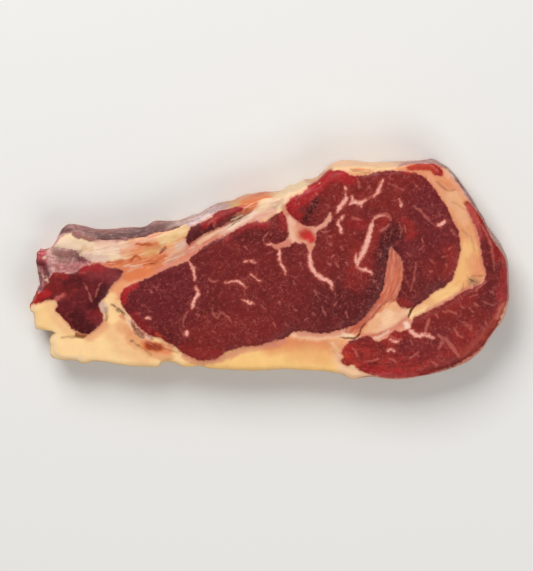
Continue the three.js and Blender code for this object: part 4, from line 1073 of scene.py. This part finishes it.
class Maker:
    """Makes the nodes of one material."""

    def __init__(self, name):
        self.material = bpy.data.materials.new(name)
        self.material.use_nodes = True
        self.tree = self.material.node_tree
        self.tree.nodes.clear()

    def node(self, kind, settings=None, values=None, output=0):
        made = self.tree.nodes.new(kind)
        for name, value in (settings or {}).items():
            setattr(made, name, value)
        for key, value in (values or {}).items():
            socket = made.inputs[key]
            if isinstance(value, Signal):
                self.tree.links.new(value.socket, socket)
            else:
                socket.default_value = value
        return Signal(self, made.outputs[output]) if made.outputs else None

    def stored(self, *names):
        """The numbers that the mesh stores under some names."""
        return [self.node("ShaderNodeAttribute", {"attribute_name": name}, output=2)
                for name in names]

    def stored_colour(self, name):
        return self.node("ShaderNodeAttribute", {"attribute_name": name})

    def place(self, stretch=(1, 1, 1), turn=0.0, shift=0.0):
        """The place on the piece, in millimetres, stretched and turned on the plan."""
        return self.node("ShaderNodeMapping", {}, {
            "Vector": self.node("ShaderNodeTexCoord", output=3), "Rotation": (0, 0, turn),
            "Scale": tuple(share / MM for share in stretch), "Location": (shift, shift, shift)})

    def speckle(self, size, detail=2.0, place=None, rough=0.5, output=0):
        """Soft noise from 0 to 1, with lumps of a size in millimetres."""
        return self.node("ShaderNodeTexNoise", {"noise_dimensions": "3D"}, {
            "Vector": place or self.place(), "Scale": 1 / size, "Detail": detail,
            "Roughness": rough}, output)

    def warped(self, size, amount):
        """The place on the piece, pushed about by soft noise."""
        push = self.scaled(self.speckle(size, 1.0, output=1), amount)
        return self.node("ShaderNodeVectorMath", {"operation": "ADD"}, {0: self.place(), 1: push})

    def threads(self, size, width, shift):
        """Thin winding lines."""
        field = self.speckle(size, 2.0, place=self.place(shift=shift))
        return 1 - self.ease(abs(field - 0.5), 0.0, width)

    def ease(self, value, low, high):
        return self.node("ShaderNodeMapRange", {"interpolation_type": "SMOOTHSTEP"}, {
            "Value": value, "From Min": low, "From Max": high})

    def mix(self, first, second, share):
        """Goes from the first colour to the second by a share."""
        def shown(colour):
            return colour if isinstance(colour, Signal) else (*colour, 1)
        return self.node("ShaderNodeMix", {"data_type": "RGBA"}, {
            "Factor": share, 6: shown(first), 7: shown(second)}, output=2)

    def layered(self, colour, *layers):
        """A colour with others laid over it in turn, each by its own share."""
        for over, share in layers:
            colour = self.mix(colour, over, share)
        return colour

    def scaled(self, colour, amount):
        """A colour made lighter or darker by an amount that is worked out."""
        return self.node("ShaderNodeVectorMath", {"operation": "SCALE"}, {
            0: colour, "Scale": amount})


def flesh_material():
    """Lean, fat, skin and membrane in one material, each where the mesh stores that it lies."""
    m = Maker("moist_raw_beef")
    lean_depth, vein_depth, fleck_depth, crack_depth, wedge_depth = m.stored(
        "lean_depth", "vein_depth", "fleck_depth", "crack_depth", "wedge_depth")
    stringy, string_across, membrane, frayed, level_fibres = m.stored(
        "stringy", "string_across", "membrane", "frayed", "level_fibres")
    level_share, marbled, skin_share = m.stored("level_share", "marbled", "skin_share")

    ragged = m.speckle(1.6, 3.0) - 0.5
    fine = m.speckle(0.8, 2.0) - 0.5
    blotch = m.speckle(5, 3.0)
    grain = m.speckle(1.3, 3.0, rough=0.6)
    cloud = m.speckle(14, 2.0)

    lean_share = m.ease(lean_depth + 1.4 * ragged + 0.5 * fine, -0.55, 0.55)
    broken = m.speckle(3.0, 2.0, place=m.place(shift=40)) - 0.5
    vein_edge = vein_depth + 1.6 * ragged + 0.5 * fine + broken
    # Painted shade darkens the inside of the cracks.
    crack_shade = m.ease(crack_depth + 0.5 * fine, -0.35, 0.25)

    # The lean: bundles of fibres cut across, each of its own shade, with threads of marbling.
    bundle = m.node("ShaderNodeTexVoronoi", {"feature": "SMOOTH_F1"}, {
        "Vector": m.warped(3.0, 1.4), "Scale": 1 / 2.2, "Smoothness": 0.7}, output=1)
    shade = m.speckle(2.8, 2.0, place=m.place(shift=11))
    streak = m.speckle(1.5, 3.0, place=m.place((0.2, 1, 1), 0.06, shift=5)) - 0.5
    lean_light = 0.34 + 0.36 * blotch + 0.22 * bundle + 0.48 * shade + 0.14 * grain
    lean_light = lean_light + 1.5 * level_fibres * streak
    patches = m.ease(m.speckle(8, 2.0, place=m.place(shift=23)), 0.40, 0.62) * marbled
    fine_patches = m.ease(m.speckle(6, 2.0, place=m.place(shift=83)), 0.45, 0.60) * marbled
    specks = m.ease(m.speckle(2.0, 2.0, place=m.place(shift=31)), 0.52, 0.72)
    dots = m.ease(m.speckle(1.4, 1.0, place=m.place(shift=37)), 0.60, 0.76) * marbled
    lean_colour = m.layered(
        m.scaled(m.stored_colour("lean_tint"), lean_light),
        (SPECK, 0.26 * specks),
        (DOT, 0.26 * dots),
        (THREAD, 0.30 * (m.threads(5.0, 0.030, 57) * patches)),
        (FINE_THREAD, 0.24 * (m.threads(2.8, 0.04, 71) * fine_patches)),
        (FLECK, 0.50 * m.ease(fleck_depth + 1.6 * ragged, -0.55, 0.60)),
        (VEIN_HALO, 0.42 * m.ease(vein_depth + 2.0 * ragged, -1.9, 0.5)),
        (VEIN, 0.85 * m.ease(vein_edge, -0.55, 0.50)),
        (VEIN_CORE, 0.75 * m.ease(vein_edge, 0.0, 1.0)))

    # The fat: waxy, in strings where it is stringy, and stained pink beside the lean.
    east, north = (m.node("ShaderNodeSeparateXYZ", {}, {"Vector": m.place()}, output=axis)
                   for axis in (0, 1))
    along_strings = m.node("ShaderNodeCombineXYZ", {}, {
        "X": 0.12 * east, "Y": 0.12 * north, "Z": 0.85 * string_across})
    string = m.speckle(1.0, 3.0, place=along_strings, rough=0.6)
    tatter = m.speckle(1.4, 3.0, place=m.place(shift=61), rough=0.65)
    wedge_colour = m.layered(
        GRISTLE,
        (DARK_GRISTLE, m.ease(string, 0.46, 0.70)),
        (PALE_GRISTLE, 0.5 * (1 - m.ease(string, 0.34, 0.54))))
    fat_colour = m.layered(
        m.scaled(m.stored_colour("fat_tint"), 0.85 + 0.20 * blotch + 0.10 * string),
        (DARK_STRING, 0.45 * (stringy * m.ease(string, 0.53, 0.68))),
        (PALE_STRING, 0.42 * (stringy * (1 - m.ease(string, 0.34, 0.47)))),
        (STAINED_EDGE, 0.50 * m.ease(lean_depth + ragged, -1.7, 0.1)),
        (DARK_TATTER, 0.42 * frayed * m.ease(tatter, 0.54, 0.66)),
        (PALE_TATTER, 0.40 * frayed * (1 - m.ease(tatter, 0.34, 0.46))),
        (wedge_colour, 0.75 * m.ease(wedge_depth + 1.2 * ragged, -1.6, 0.2)))

    # Skin and membrane, in level streaks, and mottled where it is thin.
    layer = m.speckle(2.0, 4.0, place=m.place((0.7, 0.7, 1)), rough=0.6)
    mottle = m.speckle(2.2, 4.0, place=m.place((0.6, 1.2, 0.8), 0.4, shift=13), rough=0.65)
    skin_light = 0.86 + 0.28 * (layer - 0.5)
    skin_light = skin_light + membrane * (0.15 * (layer - 0.5) + 1.5 * (mottle - 0.5))
    skin_colour = m.layered(
        m.scaled(m.stored_colour("skin_tint"), skin_light),
        (PALE_FILM, 0.35 * membrane * m.ease(layer, 0.56, 0.72)),
        (ROSE_FILM, 0.45 * membrane * m.ease(mottle, 0.56, 0.70)),
        (BRUISE, 0.40 * (m.threads(3.2, 0.04, 91) * membrane)))

    colour = m.layered(
        fat_colour,
        (lean_colour, lean_share),
        (skin_colour, m.ease(skin_share + 0.6 * ragged, 0.35, 0.75)),
        (CRACK_SHADE, 0.85 * crack_shade))

    roughness = 0.48 - 0.06 * lean_share + 0.25 * (grain - 0.5)
    wet = (0.03 + 0.14 * m.ease(cloud, 0.4, 0.65)) * level_share
    bump = m.node("ShaderNodeBump", {}, {
        "Strength": 0.25, "Distance": 0.4 * MM, "Height": 0.6 * grain + 0.25 * string})
    surface = m.node("ShaderNodeBsdfPrincipled", {"subsurface_method": "RANDOM_WALK"}, {
        "Base Color": colour, "Roughness": roughness, "Normal": bump, "Coat Weight": wet,
        "Coat Roughness": 0.16, "Coat IOR": 1.33, "IOR": 1.36, "Specular IOR Level": 0.2,
        "Subsurface Weight": 0.10, "Subsurface Radius": (1.0, 0.35, 0.2),
        "Subsurface Scale": 2 * MM})
    m.node("ShaderNodeOutputMaterial", {}, {"Surface": surface})
    return m.material


# ---------------------------------------------------------------- studio

CAMERA_AWAY = 2.4
CAMERA_TARGET = Vector((-0.00143, -0.00700, 0.026))
VIEW_HEIGHT = 0.2977  # height of the view at the cut face
SENSOR = 36
FLOOR_SIZE = 6
FLOOR_PAINT = (0.78, 0.77, 0.75, 1)
ROOM_LIGHT = (1, 0.99, 0.97, 1)
ROOM_STRENGTH = 0.34
LIGHTS = [  # name, place, size, power
    ("softbox", (-0.5, 1.3, 1.3), 1.0, 30),
    ("fill", (0.8, -0.9, 1.4), 1.2, 10),
]


def set_camera(scene):
    camera = bpy.data.objects.new("camera", bpy.data.cameras.new("camera"))
    camera.data.sensor_width = SENSOR
    camera.data.lens = SENSOR * CAMERA_AWAY / VIEW_HEIGHT
    camera.data.clip_end = 20
    camera.location = CAMERA_TARGET + CAMERA_AWAY * Vector((0, math.sin(TILT), math.cos(TILT)))
    camera.rotation_euler = (-TILT, 0, 0)
    scene.collection.objects.link(camera)
    scene.camera = camera


def lay_floor():
    bpy.ops.mesh.primitive_plane_add(size=FLOOR_SIZE, location=(0, 0, 0))
    floor = bpy.context.active_object
    floor.name = "floor"
    m = Maker("pale_floor")
    paint = m.node("ShaderNodeBsdfPrincipled", {}, {"Base Color": FLOOR_PAINT, "Roughness": 0.7})
    m.node("ShaderNodeOutputMaterial", {}, {"Surface": paint})
    floor.data.materials.append(m.material)


def light_room(scene):
    world = bpy.data.worlds.new("soft_room")
    world.use_nodes = True
    background = world.node_tree.nodes["Background"].inputs
    background["Color"].default_value = ROOM_LIGHT
    background["Strength"].default_value = ROOM_STRENGTH
    scene.world = world

    for name, place, size, power in LIGHTS:
        light = bpy.data.objects.new(name, bpy.data.lights.new(name, "AREA"))
        light.data.size = size
        light.data.energy = power
        light.location = place
        light.rotation_euler = (-Vector(place)).to_track_quat("-Z", "Y").to_euler()
        scene.collection.objects.link(light)


def set_studio():
    scene = bpy.context.scene
    scene.view_settings.view_transform = "Standard"
    scene.view_settings.look = "None"
    set_camera(scene)
    lay_floor()
    light_room(scene)


set_studio()
steak = flesh_blank(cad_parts["steak"])
shape_flesh(steak)
steak.data.materials.append(flesh_material())
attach(steak, "root")
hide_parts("steak")
